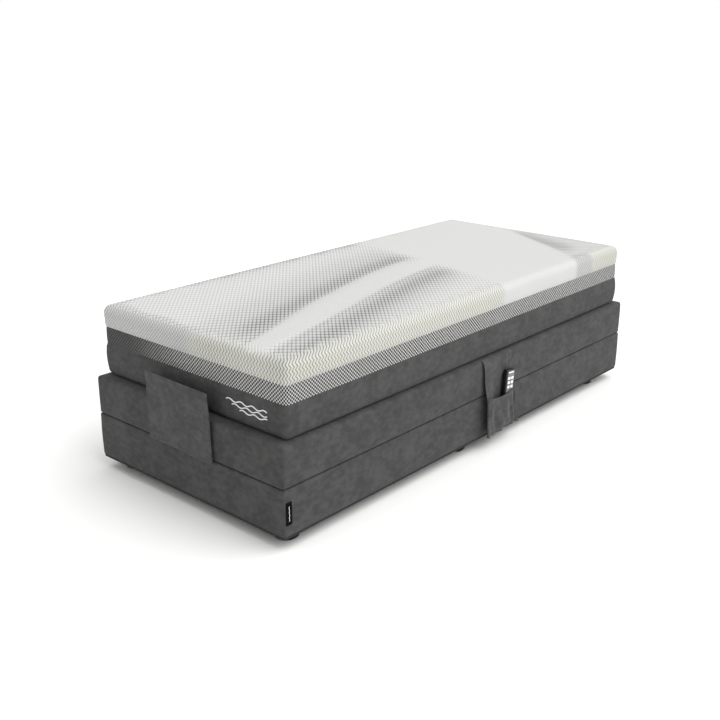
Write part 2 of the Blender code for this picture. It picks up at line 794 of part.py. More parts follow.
def build_handset(bed):
    """The handset stands tilted in the pouch: an empty holds its bottom and its slide direction."""
    face_x = HALF_WIDTH + 0.0275
    slide = make_empty("handset_slide", bed, (face_x, *HANDSET_BASE), -HANDSET_TILT)
    body = box(
        "handset_body",
        (-HANDSET_DEPTH, -HANDSET_WIDTH / 2, 0.0),
        (0.0, HANDSET_WIDTH / 2, HANDSET_LENGTH),
        slide,
        "handset_plastic",
        in_bed_frame=False,
    )
    bevel(body, 0.005, 3)
    for row in range(BUTTON_ROWS):
        for column, sign in (("left", -1), ("right", 1)):
            name = f"button_{row + 1}_{column}"
            centre = (0.0, sign * BUTTON_PITCH[0] / 2, BUTTON_FIRST_ROW - row * BUTTON_PITCH[1])
            button_axis = bpy.data.objects.new(f"{name}_axis", None)
            bpy.context.collection.objects.link(button_axis)
            button_axis.parent = slide
            button_axis.location = centre
            half_y, half_z = BUTTON_SIZE[0] / 2, BUTTON_SIZE[1] / 2
            well = box(
                f"{name}_cutter",
                (-BUTTON_SINK, -half_y - 0.0004, -half_z - 0.0004),
                (0.010, half_y + 0.0004, half_z + 0.0004),
                button_axis,
                in_bed_frame=False,
            )
            combine(body, well, "DIFFERENCE")
            button = box(
                name,
                (-BUTTON_PROUD, -half_y, -half_z),
                (BUTTON_PROUD, half_y, half_z),
                button_axis,
                "button_rubber",
                in_bed_frame=False,
            )
            bevel(button, 0.0006)


def main():
    """Build the whole bed."""
    clear_scene()
    for name in MATERIALS:
        make_material(name)
    bed = make_empty("bed", None, CENTRE_SHIFT)
    back = make_empty("back_hinge", bed, (0.0, BACK_HINGE_Y, HINGE_Z))
    thigh = make_empty("thigh_hinge", bed, (0.0, THIGH_HINGE_Y, HINGE_Z))
    leg = make_empty("knee_hinge", thigh, (0.0, KNEE_HINGE_Y, HINGE_Z))
    build_box(bed)
    build_feet(bed)
    build_side_frames(bed)
    build_hinge_rod("back_hinge_rod", BACK_HINGE_Y, UPRIGHT_X[0] - GAP, bed)
    build_hinge_rod("thigh_hinge_rod", THIGH_HINGE_Y, UPRIGHT_X[0] - GAP, bed)
    build_hinge_rod("knee_rod", KNEE_HINGE_Y, BACK_ARM_X + 0.008, thigh)
    build_sections(bed, back, thigh, leg)
    build_arms("back", (BACK_HINGE_Y,), 0.950, BACK_ARM_X, back)
    build_arms("thigh", (KNEE_HINGE_Y, THIGH_HINGE_Y), 0.0, BACK_ARM_X, thigh)
    build_arms("leg", (KNEE_HINGE_Y,), -0.950, LEG_ARM_X, leg)
    build_mechanism(bed, back, thigh)
    build_mattress(bed, back, thigh, leg)
    build_flap(leg)
    build_pocket(bed)
    build_handset(bed)


main()
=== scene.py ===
"""Looks of the adjustable bed: upholstery, mattress, foot flap, remote pocket and mechanism.

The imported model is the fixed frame. The upholstered box, the folding layer, the mattress, the flap
and the pocket are rebuilt here as soft surfaces worked out with numpy. The steel frame, the motors,
the feet and the remote keep the frame's shapes or stand exactly in their place.
"""

from __future__ import annotations

import json
import logging
import math
from dataclasses import dataclass, field
from enum import Enum
from typing import Callable

import bmesh
import bpy
import numpy as np
from mathutils import Vector
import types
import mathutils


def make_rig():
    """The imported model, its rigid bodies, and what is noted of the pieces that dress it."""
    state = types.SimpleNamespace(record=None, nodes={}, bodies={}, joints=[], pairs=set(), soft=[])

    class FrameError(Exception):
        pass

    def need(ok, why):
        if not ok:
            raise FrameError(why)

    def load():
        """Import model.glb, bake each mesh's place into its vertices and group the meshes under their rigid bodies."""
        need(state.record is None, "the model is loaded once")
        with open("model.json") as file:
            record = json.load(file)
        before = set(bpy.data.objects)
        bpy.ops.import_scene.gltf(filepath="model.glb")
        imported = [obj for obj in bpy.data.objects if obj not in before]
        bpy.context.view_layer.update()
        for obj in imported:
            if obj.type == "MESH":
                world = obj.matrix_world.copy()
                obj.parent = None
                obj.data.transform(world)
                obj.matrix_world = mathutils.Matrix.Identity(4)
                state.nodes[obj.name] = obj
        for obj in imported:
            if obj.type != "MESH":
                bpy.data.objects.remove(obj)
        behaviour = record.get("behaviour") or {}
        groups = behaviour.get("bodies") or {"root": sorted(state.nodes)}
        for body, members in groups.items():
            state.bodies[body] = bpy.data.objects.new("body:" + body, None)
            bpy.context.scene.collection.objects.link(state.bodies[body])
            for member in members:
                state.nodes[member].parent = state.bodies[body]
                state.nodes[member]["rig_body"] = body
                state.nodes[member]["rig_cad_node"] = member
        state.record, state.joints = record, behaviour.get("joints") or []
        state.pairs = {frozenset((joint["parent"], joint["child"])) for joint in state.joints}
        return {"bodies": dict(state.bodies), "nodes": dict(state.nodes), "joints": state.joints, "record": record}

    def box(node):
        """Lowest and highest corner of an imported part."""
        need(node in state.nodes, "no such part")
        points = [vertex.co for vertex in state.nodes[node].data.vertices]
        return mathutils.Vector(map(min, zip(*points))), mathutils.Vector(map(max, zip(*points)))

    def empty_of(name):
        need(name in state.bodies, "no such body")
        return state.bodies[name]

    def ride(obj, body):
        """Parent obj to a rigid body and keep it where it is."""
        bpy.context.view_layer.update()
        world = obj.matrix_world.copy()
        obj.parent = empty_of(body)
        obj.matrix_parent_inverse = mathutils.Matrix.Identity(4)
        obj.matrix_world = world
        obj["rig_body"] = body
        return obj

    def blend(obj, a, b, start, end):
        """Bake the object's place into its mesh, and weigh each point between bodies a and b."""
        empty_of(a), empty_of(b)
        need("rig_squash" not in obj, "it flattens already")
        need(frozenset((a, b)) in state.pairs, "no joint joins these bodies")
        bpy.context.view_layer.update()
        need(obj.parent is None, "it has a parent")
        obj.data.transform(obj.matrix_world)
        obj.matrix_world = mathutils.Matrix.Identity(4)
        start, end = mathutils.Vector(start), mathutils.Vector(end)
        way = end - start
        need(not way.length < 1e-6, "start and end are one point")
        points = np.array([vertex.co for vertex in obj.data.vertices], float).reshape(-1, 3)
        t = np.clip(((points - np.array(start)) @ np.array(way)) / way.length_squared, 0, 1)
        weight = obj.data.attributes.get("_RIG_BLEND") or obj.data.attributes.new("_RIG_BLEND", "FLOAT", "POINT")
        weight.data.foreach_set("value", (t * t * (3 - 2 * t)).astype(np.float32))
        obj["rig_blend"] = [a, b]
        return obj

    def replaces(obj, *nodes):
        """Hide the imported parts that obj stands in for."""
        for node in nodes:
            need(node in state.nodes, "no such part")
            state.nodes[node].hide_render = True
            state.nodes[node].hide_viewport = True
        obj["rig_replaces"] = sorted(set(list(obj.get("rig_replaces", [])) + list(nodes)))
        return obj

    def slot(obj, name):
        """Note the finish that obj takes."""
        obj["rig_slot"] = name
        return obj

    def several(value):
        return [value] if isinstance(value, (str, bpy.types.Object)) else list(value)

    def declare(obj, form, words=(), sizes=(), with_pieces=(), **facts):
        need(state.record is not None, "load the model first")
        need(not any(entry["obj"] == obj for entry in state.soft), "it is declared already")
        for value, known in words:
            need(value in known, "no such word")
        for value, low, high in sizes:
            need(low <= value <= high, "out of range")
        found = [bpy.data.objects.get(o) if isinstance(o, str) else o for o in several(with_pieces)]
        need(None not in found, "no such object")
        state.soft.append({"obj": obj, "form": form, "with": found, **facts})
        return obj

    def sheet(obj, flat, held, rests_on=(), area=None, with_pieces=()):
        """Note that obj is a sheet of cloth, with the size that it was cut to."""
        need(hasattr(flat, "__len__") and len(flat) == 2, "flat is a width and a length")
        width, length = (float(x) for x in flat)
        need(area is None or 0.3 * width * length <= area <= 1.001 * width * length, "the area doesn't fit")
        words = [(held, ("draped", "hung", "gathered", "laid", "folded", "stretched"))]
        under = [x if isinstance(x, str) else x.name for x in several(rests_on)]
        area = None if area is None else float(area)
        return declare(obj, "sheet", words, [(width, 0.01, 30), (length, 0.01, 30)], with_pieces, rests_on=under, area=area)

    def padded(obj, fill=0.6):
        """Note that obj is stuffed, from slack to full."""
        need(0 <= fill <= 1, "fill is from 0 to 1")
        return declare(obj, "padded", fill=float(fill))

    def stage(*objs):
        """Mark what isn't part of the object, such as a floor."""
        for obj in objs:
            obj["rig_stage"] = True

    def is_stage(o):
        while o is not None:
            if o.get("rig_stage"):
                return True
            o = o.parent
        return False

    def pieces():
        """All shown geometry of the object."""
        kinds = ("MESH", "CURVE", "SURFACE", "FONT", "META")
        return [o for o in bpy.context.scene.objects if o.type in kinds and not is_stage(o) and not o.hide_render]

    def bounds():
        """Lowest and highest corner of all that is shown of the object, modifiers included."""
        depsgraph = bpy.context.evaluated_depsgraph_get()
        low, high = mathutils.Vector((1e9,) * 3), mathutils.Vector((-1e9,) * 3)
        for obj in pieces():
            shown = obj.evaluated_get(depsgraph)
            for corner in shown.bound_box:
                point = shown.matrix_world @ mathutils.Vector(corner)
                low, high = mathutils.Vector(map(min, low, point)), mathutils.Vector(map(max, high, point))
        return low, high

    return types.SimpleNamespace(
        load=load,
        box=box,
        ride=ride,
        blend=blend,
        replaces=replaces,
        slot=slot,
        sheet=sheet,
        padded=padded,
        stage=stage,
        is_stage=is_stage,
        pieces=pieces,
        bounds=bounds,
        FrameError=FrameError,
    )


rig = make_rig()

LOG = logging.getLogger("bed")
SIZE_FILE = "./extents.json"

Array = np.ndarray
Shape = Callable[[Array], Array]
Colour = tuple[float, float, float, float]
Stretch = tuple[float, float, float]


# Numbers shared by several parts -----------------------------------------------------------------


class Side(Enum):
    """The end of a block that is closed by a rounded end wall."""

    FOOT = -1
    HEAD = 1
    NONE = 0


@dataclass(frozen=True)
class BedFrame:
    """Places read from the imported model, and helpers that turn bed places into row places.

    Bed places have their origin on the floor under the centre of the upholstered box.
    """

    centre_x: float
    centre_y: float
    half_width: float
    half_length: float
    box_bottom: float
    box_top: float
    skirt_bottom: float
    platform_bottom: float
    platform_top: float
    mattress_low: float
    mattress_high: float
    mattress_half_width: float
    mattress_half_length: float

    @classmethod
    def read(cls) -> BedFrame:
        """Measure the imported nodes.

        Returns:
            The frame with every place in metres.
        """
        left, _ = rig.box("side_panel_left")
        _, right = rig.box("side_panel_right")
        skirt_low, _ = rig.box("back_skirt_left")
        platform_low, platform_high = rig.box("seat_platform")
        mattress_low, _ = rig.box("mattress_leg")
        _, mattress_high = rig.box("mattress_back")
        return cls(
            centre_x=(left.x + right.x) / 2,
            centre_y=(left.y + right.y) / 2,
            half_width=(right.x - left.x) / 2,
            half_length=(right.y - left.y) / 2,
            box_bottom=left.z,
            box_top=right.z,
            skirt_bottom=skirt_low.z,
            platform_bottom=platform_low.z,
            platform_top=platform_high.z,
            mattress_low=mattress_low.z,
            mattress_high=mattress_high.z,
            mattress_half_width=(mattress_high.x - mattress_low.x) / 2,
            mattress_half_length=(mattress_high.y - mattress_low.y) / 2,
        )

    def place(self, points: Array) -> Array:
        """Move points from the bed's own frame to the row's frame."""
        return points + np.array((self.centre_x, self.centre_y, 0.0))

    def at_y(self, y: float) -> tuple[float, float, float]:
        """The row place of a station along the bed, for a blend's start or end."""
        return (self.centre_x, self.centre_y + y, self.platform_top)


@dataclass(frozen=True)
class Fold:
    """Where one cover bends between two bodies: it follows a before start and b after end."""

    body_a: str
    body_b: str
    start: float
    end: float


def smooth(low: float, high: float, value: Array) -> Array:
    """Smooth step: 0 at low, 1 at high, and 3t^2 - 2t^3 between them."""
    t = np.clip((value - low) / (high - low), 0.0, 1.0)
    return t * t * (3.0 - 2.0 * t)


def hill(centre: float, width: float, value: Array) -> Array:
    """Bell curve exp(-((value - centre) / width)^2)."""
    return np.exp(-(((value - centre) / width) ** 2))


# Meshes ------------------------------------------------------------------------------------------


def make_piece(
    name: str, points: Array, faces: list, smooth_angle: float = 35.0
) -> bpy.types.Object:
    """Make an object at the origin from points and faces, with its faces pointing out.

    Args:
        name: The piece's name.
        points: Row-frame points, n by 3.
        faces: Vertex indices of each face.
        smooth_angle: Edges sharper than this, in degrees, stay sharp.

    Returns:
        The new object.
    """
    mesh = bpy.data.meshes.new(name)
    mesh.from_pydata(np.asarray(points, float).tolist(), [], [list(map(int, f)) for f in faces])
    work = bmesh.new()
    work.from_mesh(mesh)
    bmesh.ops.recalc_face_normals(work, faces=work.faces)
    work.to_mesh(mesh)
    work.free()
    mesh.shade_smooth()
    mesh.set_sharp_from_angle(angle=math.radians(smooth_angle))
    piece = bpy.data.objects.new(name, mesh)
    bpy.context.scene.collection.objects.link(piece)
    return piece


def quads(index: Array, wrap_rows: bool = False, wrap_columns: bool = False) -> list:
    """Faces of a grid of vertex indices.

    Args:
        index: Vertex indices, rows by columns.
        wrap_rows: Join the last row to the first.
        wrap_columns: Join the last column to the first.

    Returns:
        A list of four-index faces.
    """
    if wrap_rows:
        index = np.vstack((index, index[:1]))
    if wrap_columns:
        index = np.hstack((index, index[:, :1]))
    a, b = index[:-1, :-1], index[:-1, 1:]
    c, d = index[1:, 1:], index[1:, :-1]
    return np.stack((a, b, c, d), axis=-1).reshape(-1, 4).tolist()


def set_values(piece: bpy.types.Object, name: str, values: Array) -> None:
    """Store one number for each vertex, for a material to read."""
    layer = piece.data.attributes.new(name, "FLOAT", "POINT")
    layer.data.foreach_set("value", np.asarray(values, np.float32))


def vertex_places(piece: bpy.types.Object) -> Array:
    """The places of a piece's vertices, n by 3."""
    places = np.zeros(len(piece.data.vertices) * 3, np.float32)
    piece.data.vertices.foreach_get("co", places)
    return places.reshape(-1, 3).astype(float)


def face_centres(piece: bpy.types.Object) -> Array:
    """The centres of a piece's faces, n by 3."""
    centres = np.zeros(len(piece.data.polygons) * 3, np.float32)
    piece.data.polygons.foreach_get("center", centres)
    return centres.reshape(-1, 3).astype(float)


@dataclass
class SoftBlock:
    """A long padded block: rows along Y, each a closed loop of two profiles and two flat patches.

    The profile says, level by level from the edge of the underside to the edge of the top, how far
    the surface is set in from the plan outline and how high it is. The plan outline is straight,
    and turns through quarter circles of the corner radius into the end wall. A level that is set
    in by d turns through the radius corner - d, and never less than 2 mm.

    Attributes:
        half_width: Half the width of the plan outline.
        start: Y of the first row.
        stop: Y of the last row, or of the end wall.
        wall: Which end has a rounded end wall.
        corner: Plan radius of the corners, one value or one for each level.
        inset: Inset of each level.
        height: Height of each level.
        columns: Vertices across each patch.
        row_step: Distance between rows.
        extra_rows: Y of further rows that the shape needs.
    """

    half_width: float
    start: float
    stop: float
    wall: Side
    corner: float | Array
    inset: Array
    height: Array
    columns: int = 41
    row_step: float = 0.012
    extra_rows: tuple[float, ...] = ()

    def stations(self) -> tuple[Array, Array, Array, Array]:
        """The right-hand outline: x, y and the outward direction at each row.

        On the straight the direction is +X. On a corner of radius r about (half_width - r, y_c) it
        is (cos a, s sin a) for a from 0 to 90 degrees, where s is the wall's side.
        """
        side, start, stop = self.wall.value, self.start, self.stop
        corner = float(np.max(self.corner))
        if side == -1:
            start, stop = stop, start
        straight_stop = stop - side * corner if side else stop
        count = max(2, int(round(abs(straight_stop - start) / self.row_step)) + 1)
        y = np.linspace(start, straight_stop, count)
        low, high = sorted((start, straight_stop))
        extra = [e for e in self.extra_rows if low + 0.002 < e < high - 0.002]
        y = np.unique(np.round(np.concatenate((y, extra)), 5))
        if side == -1:
            y = y[::-1]
        x = np.full(len(y), self.half_width)
        out_x, out_y = np.ones(len(y)), np.zeros(len(y))
        if side:
            angle = np.radians(np.linspace(0.0, 90.0, 9)[1:])
            x = np.append(x, self.half_width - corner + corner * np.cos(angle))
            y = np.append(y, straight_stop + side * corner * np.sin(angle))
            out_x = np.append(out_x, np.cos(angle))
            out_y = np.append(out_y, side * np.sin(angle))
        return x, y, out_x, out_y

    def build(self, name: str, bed: BedFrame, shape: Shape) -> bpy.types.Object:
        """Make the block.

        Args:
            name: The piece's name.
            bed: The bed's frame.
            shape: Moves the finished points, in the bed's own frame.

        Returns:
            The closed object.
        """
        x, y, out_x, out_y = self.stations()
        levels, rows, inner = len(self.inset), len(x), self.columns - 2
        side = self.wall.value
        turn = np.maximum(self.corner - self.inset, 0.002)
        right = np.empty((rows, levels, 3))
        right[..., 0] = self.half_width - self.inset - turn + turn * out_x[:, None]
        right[..., 1] = y[:, None]
        if side:
            end = (self.stop if side == 1 else self.start) - side * (self.inset + turn)
            bent = end + turn * out_y[:, None]
            held = side * np.minimum(side * y[:, None], side * end)
            right[..., 1] = np.where(out_x[:, None] < 1.0, bent, held)
        right[..., 2] = self.height
        left = right[:, ::-1] * np.array((-1.0, 1.0, 1.0))
        share = (np.arange(inner) + 1.0) / (inner + 1.0)
        top = right[:, -1, None] + (left[:, 0, None] - right[:, -1, None]) * share[None, :, None]
        bottom = left[:, -1, None] + (right[:, 0, None] - left[:, -1, None]) * share[None, :, None]
        loops = np.concatenate((right, top, left, bottom), axis=1)
        size = loops.shape[1]
        index = np.arange(rows * size).reshape(rows, size)
        faces = quads(index, wrap_columns=True)
        faces.append(index[0].tolist())
        points = loops.reshape(-1, 3)
        if self.wall is Side.NONE:
            faces.append(index[-1][::-1].tolist())
        else:
            wall = np.empty((self.columns, levels), int)
            wall[0] = index[-1, :levels]
            wall[-1] = index[-1, levels + inner : 2 * levels + inner][::-1]
            wall[1:-1, -1] = index[-1, levels : levels + inner]
            wall[1:-1, 0] = index[-1, 2 * levels + inner :][::-1]
            across = (np.arange(inner) + 1.0)[:, None, None] / (inner + 1.0)
            ends = loops[-1]
            first = ends[1 : levels - 1]
            last = ends[levels + inner : 2 * levels + inner][::-1][1:-1]
            fill = first[None] + (last - first)[None] * across
            wall[1:-1, 1:-1] = len(points) + np.arange(fill.size // 3).reshape(fill.shape[:2])
            points = np.vstack((points, fill.reshape(-1, 3)))
            faces.extend(quads(wall))
        return make_piece(name, bed.place(shape(points)), faces)


def rounded_outline(
    half_width: float, half_length: float, corner: float, counts: tuple[int, int]
) -> Array:
    """A closed rounded rectangle in plan, counter-clockwise from the +X end of the first corner.

    Each side is a straight run of evenly spaced points, and each corner a quarter circle.

    Args:
        half_width: Half the size along X.
        half_length: Half the size along Y.
        corner: Radius of the corners.
        counts: Points on each run along X and along Y.

    Returns:
        The points, n by 2.
    """
    points = []
    corners = ((1, 1), (-1, 1), (-1, -1), (1, -1))
    reach = np.array((half_width - corner, half_length - corner))
    for number, signs in enumerate(corners):
        angles = np.radians(90.0 * number + np.linspace(0.0, 90.0, 9))
        turn = np.stack((np.cos(angles), np.sin(angles)), axis=1)
        arc = np.array(signs) * reach + corner * turn
        run_end = np.array(corners[(number + 1) % 4]) * reach + corner * turn[-1]
        count = counts[number % 2]
        share = (np.arange(count) + 1.0)[:, None] / (count + 1.0)
        points.append(np.vstack((arc, arc[-1] + (run_end - arc[-1]) * share)))
    return np.vstack(points)


def band(
    name: str,
    bed: BedFrame,
    size: tuple[float, float, float],
    profile: tuple[Array, Array],
    step: float,
    shape: Shape,
) -> bpy.types.Object:
    """Carry a closed profile round a closed rounded rectangle.

    Args:
        name: The piece's name.
        bed: The bed's frame.
        size: Half width, half length and corner radius of the plan outline.
        profile: Inset of each profile point from the outline, and its height.
        step: Distance between points of the outline.
        shape: Moves the finished points, in the bed's own frame.

    Returns:
        The closed ring.
    """
    half_width, half_length, corner = size
    inset, height = profile
    counts = (int(2 * half_width / step), int(2 * half_length / step))
    loops = [
        rounded_outline(half_width - d, half_length - d, max(corner - d, 0.001), counts)
        for d in inset
    ]
    grid = np.empty((len(loops[0]), len(inset), 3))
    grid[..., :2] = np.stack(loops, axis=1)
    grid[..., 2] = height
    index = np.arange(grid.shape[0] * grid.shape[1]).reshape(grid.shape[:2])
    faces = quads(index, wrap_rows=True, wrap_columns=True)
    return make_piece(name, bed.place(shape(grid.reshape(-1, 3))), faces)


def cloth_sheet(
    name: str, bed: BedFrame, surface: Array, thickness: float | Array
) -> bpy.types.Object:
    """A closed sheet about a grid of points: a front, a back and a rim.

    The front and back stand half the thickness away along the grid's normals, which are the cross
    products of its central differences.

    Args:
        name: The piece's name.
        bed: The bed's frame.
        surface: Middle of the sheet in the bed's own frame, rows by columns by 3.
        thickness: One value, or one for each point. It may fall towards the rim, but not to 0.

    Returns:
        The closed object.
    """
    along = np.gradient(surface, axis=0)
    across = np.gradient(surface, axis=1)
    normal = np.cross(along, across)
    normal /= np.maximum(np.linalg.norm(normal, axis=-1, keepdims=True), 1e-9)
    half = np.broadcast_to(np.asarray(thickness) / 2, surface.shape[:2])[..., None]
    front, back = surface + normal * half, surface - normal * half
    rows, columns = surface.shape[:2]
    index = np.arange(rows * columns).reshape(rows, columns)
    other = index + rows * columns
    faces = quads(index) + quads(other[:, ::-1])
    rim = np.concatenate((index[0], index[1:, -1], index[-1, -2::-1], index[-2:0:-1, 0]))
    rim_back = rim + rows * columns
    faces.extend(quads(np.stack((rim, rim_back)), wrap_columns=True))
    points = np.vstack((front.reshape(-1, 3), back.reshape(-1, 3)))
    return make_piece(name, bed.place(points), faces, smooth_angle=60.0)


def tube(
    name: str, bed: BedFrame, path: Array, radius: float, sides: int
) -> bpy.types.Object:
    """A round tube along a path: circles across the path's direction, capped at its ends.

    Args:
        name: The piece's name.
        bed: The bed's frame.
        path: Points of the centreline in the bed's own frame, n by 3.
        radius: Radius of the tube.
        sides: Points round each circle.

    Returns:
        The closed object.
    """
    direction = np.gradient(path, axis=0)
    direction /= np.linalg.norm(direction, axis=1, keepdims=True)
    spread = np.linalg.norm(direction - direction.mean(axis=0), axis=0)
    helper = np.eye(3)[int(np.argmin(spread + np.abs(direction).mean(axis=0)))]
    first = np.cross(direction, helper)
    first /= np.linalg.norm(first, axis=1, keepdims=True)
    second = np.cross(direction, first)
    angle = np.linspace(0.0, 2.0 * math.pi, sides, endpoint=False)
    cosine, sine = np.cos(angle)[None, :, None], np.sin(angle)[None, :, None]
    ring = first[:, None] * cosine + second[:, None] * sine
    points = (path[:, None] + radius * ring).reshape(-1, 3)
    index = np.arange(len(path) * sides).reshape(-1, sides)
    faces = quads(index, wrap_columns=True)
    faces.extend((index[0].tolist(), index[-1][::-1].tolist()))
    return make_piece(name, bed.place(points), faces)


def turned(
    name: str, bed: BedFrame, centre: tuple[float, float], profile: Array, sides: int = 48
) -> bpy.types.Object:
    """A turned piece: a profile of (radius, height) points carried round a vertical axis.

    Args:
        name: The piece's name.
        bed: The bed's frame.
        centre: Place of the axis in the bed's own frame, x and y.
        profile: Radius and height from the underside to the top, n by 2.
        sides: Points round each circle.

    Returns:
        The closed object.
    """
    angle = np.linspace(0.0, 2.0 * math.pi, sides, endpoint=False)
    grid = np.empty((len(profile), sides, 3))
    grid[..., 0] = centre[0] + profile[:, :1] * np.cos(angle)
    grid[..., 1] = centre[1] + profile[:, :1] * np.sin(angle)
    grid[..., 2] = profile[:, 1:]
    index = np.arange(grid.shape[0] * sides).reshape(-1, sides)
    faces = quads(index, wrap_columns=True)
    faces.extend((index[0].tolist(), index[-1][::-1].tolist()))
    return make_piece(name, bed.place(grid.reshape(-1, 3)), faces)


# Materials ---------------------------------------------------------------------------------------


def linear(colour: str) -> Colour:
    """Turn an sRGB hex colour, such as "#5A5A5C", into linear RGBA."""
    parts = [int(colour[i : i + 2], 16) / 255.0 for i in (1, 3, 5)]
    values = [p / 12.92 if p <= 0.04045 else ((p + 0.055) / 1.055) ** 2.4 for p in parts]
    return (values[0], values[1], values[2], 1.0)


def shaded(colour: Colour, factor: float) -> Colour:
    """The colour with its red, green and blue times factor, and none over 1."""
    red, green, blue = (min(c * factor, 1.0) for c in colour[:3])
    return (red, green, blue, 1.0)


@dataclass(frozen=True)
class Wire:
    """A node's output that can be reckoned with, so that a pattern reads as its formula."""

    nodes: Nodes
    socket: bpy.types.NodeSocket

    def output(self, key: int | str) -> Wire:
        """Another output of the same node."""
        return Wire(self.nodes, self.socket.node.outputs[key])

    def reckon(self, operation: str, *values: Wire | float) -> Wire:
        """The result of an operation on the given values."""
        return self.nodes.add("Math", dict(enumerate(values)), operation=operation)

    def sine(self) -> Wire:
        """The sine of this value, in radians."""
        return self.reckon("SINE", self)

    def __abs__(self) -> Wire:
        """This value without its sign."""
        return self.reckon("ABSOLUTE", self)

    def __add__(self, other: Wire | float) -> Wire:
        """The sum."""
        return self.reckon("ADD", self, other)

    def __sub__(self, other: Wire | float) -> Wire:
        """This value less the other."""
        return self.reckon("SUBTRACT", self, other)

    def __rsub__(self, other: float) -> Wire:
        """A number less this value."""
        return self.reckon("SUBTRACT", other, self)

    def __mul__(self, other: Wire | float) -> Wire:
        """The product."""
        return self.reckon("MULTIPLY", self, other)


class Nodes:
    """Builds the node tree of one material, or of the world."""

    def __init__(
        self, owner: bpy.types.Material | bpy.types.World, shader: str = "Principled BSDF"
    ) -> None:
        """Start with the owner's bare shader.

        Args:
            owner: The material or world.
            shader: The name of the shader node that it comes with.
        """
        owner.use_nodes = True
        self.owner = owner
        self.tree = owner.node_tree
        self.shader = self.tree.nodes[shader]

    def add(
        self, kind: str, inputs: dict | None = None, output: int | str = 0, **settings: object
    ) -> Wire:
        """Add a node with its settings and links.

        Args:
            kind: The node's type name after "ShaderNode".
            inputs: Socket name or number to a value or a wire.
            output: The output that the wire starts from.
            **settings: Attributes of the node, such as operation.

        Returns:
            A wire from the node.
        """
        node = self.tree.nodes.new("ShaderNode" + kind)
        for key, value in settings.items():
            setattr(node, key, value)
        self.connect(node, inputs or {})
        return Wire(self, node.outputs[output])

    def connect(self, node: bpy.types.Node, inputs: dict) -> None:
        """Set each socket to its value, or link its wire to it.

        Args:
            node: The node whose sockets are set.
            inputs: Socket name or number to a value or a wire.
        """
        for key, value in inputs.items():
            if isinstance(value, Wire):
                self.tree.links.new(value.socket, node.inputs[key])
            else:
                node.inputs[key].default_value = value

    def axes(self) -> tuple[Wire, Wire, Wire]:
        """The x, y and z of Object coordinates, in metres."""
        split = self.add("SeparateXYZ", {0: self.add("TexCoord", output="Object")})
        return split, split.output(1), split.output(2)

    def clouds(self, size_mm: float, detail: float, stretch: Stretch = (1.0, 1.0, 1.0)) -> Wire:
        """Random unevenness of a real size.

        Args:
            size_mm: About how wide its features are.
            detail: Finer octaves added to it.
            stretch: How much longer they are along each axis.

        Returns:
            Its value, about 0 to 1.
        """
        places = self.add("TexCoord", output="Object")
        scale = tuple(1.0 / s for s in stretch)
        scaled = self.add("Mapping", {"Vector": places, "Scale": scale})
        inputs = {"Vector": scaled, "Scale": 1000.0 / size_mm, "Detail": detail}
        return self.add("TexNoise", inputs)

    def finish(
        self, sockets: dict, height: Wire, depth_mm: float, strength: float
    ) -> bpy.types.Material:
        """Set the shader's sockets and press a relief into the surface.

        Args:
            sockets: Socket name to a value or a wire.
            height: The relief, about 0 to 1.
            depth_mm: What a height of 1 stands for.
            strength: The share of it that shows.

        Returns:
            The material.
        """
        relief = {"Height": height, "Distance": depth_mm / 1000.0, "Strength": strength}
        self.connect(self.shader, sockets)
        self.connect(self.shader, {"Normal": self.add("Bump", relief)})
        return self.owner


@dataclass(frozen=True)
class Microfibre:
    """Brushed polyester microfibre, sueded: a matt nap that is stroked lighter and darker.

    The eye sees soft patches as wide as a hand where the nap lies differently, a fine fibre grain,
    and a faint pale sheen at grazing angles.
    """

    name: str
    colour: str
    patch_mm: float = 90.0
    streak_mm: float = 17.0
    grain_mm: float = 4.0

    def make(self) -> bpy.types.Material:
        """Build the material."""
        n = Nodes(bpy.data.materials.new(self.name))
        patch = n.clouds(self.patch_mm, 3.0)
        streak = n.clouds(self.streak_mm, 5.0, (1.5, 1.5, 1.0))
        grain = n.clouds(self.grain_mm, 1.0)
        low, high = shaded(linear(self.colour), 0.76), shaded(linear(self.colour), 1.30)
        tone = n.add(
            "MapRange",
            {"Value": patch * 0.45 + streak * 0.55, "From Min": 0.36, "From Max": 0.66},
            interpolation_type="SMOOTHSTEP",
        )
        fibre = n.add(
            "MapRange",
            {"Value": grain, "From Min": 0.35, "From Max": 0.75},
            interpolation_type="SMOOTHSTEP",
        )
        colour = n.add("Mix", {0: tone, 6: low, 7: high}, 2, data_type="RGBA")
        colour = n.add("Mix", {0: fibre * 0.35, 6: colour, 7: high}, 2, data_type="RGBA")
        sockets = {
            "Base Color": colour,
            "Roughness": 0.92,
            "Sheen Weight": 0.08,
            "Sheen Roughness": 0.45,
            "Specular IOR Level": 0.25,
        }
        return n.finish(sockets, grain * 0.6 + streak * 0.4, 1.2, 0.35)


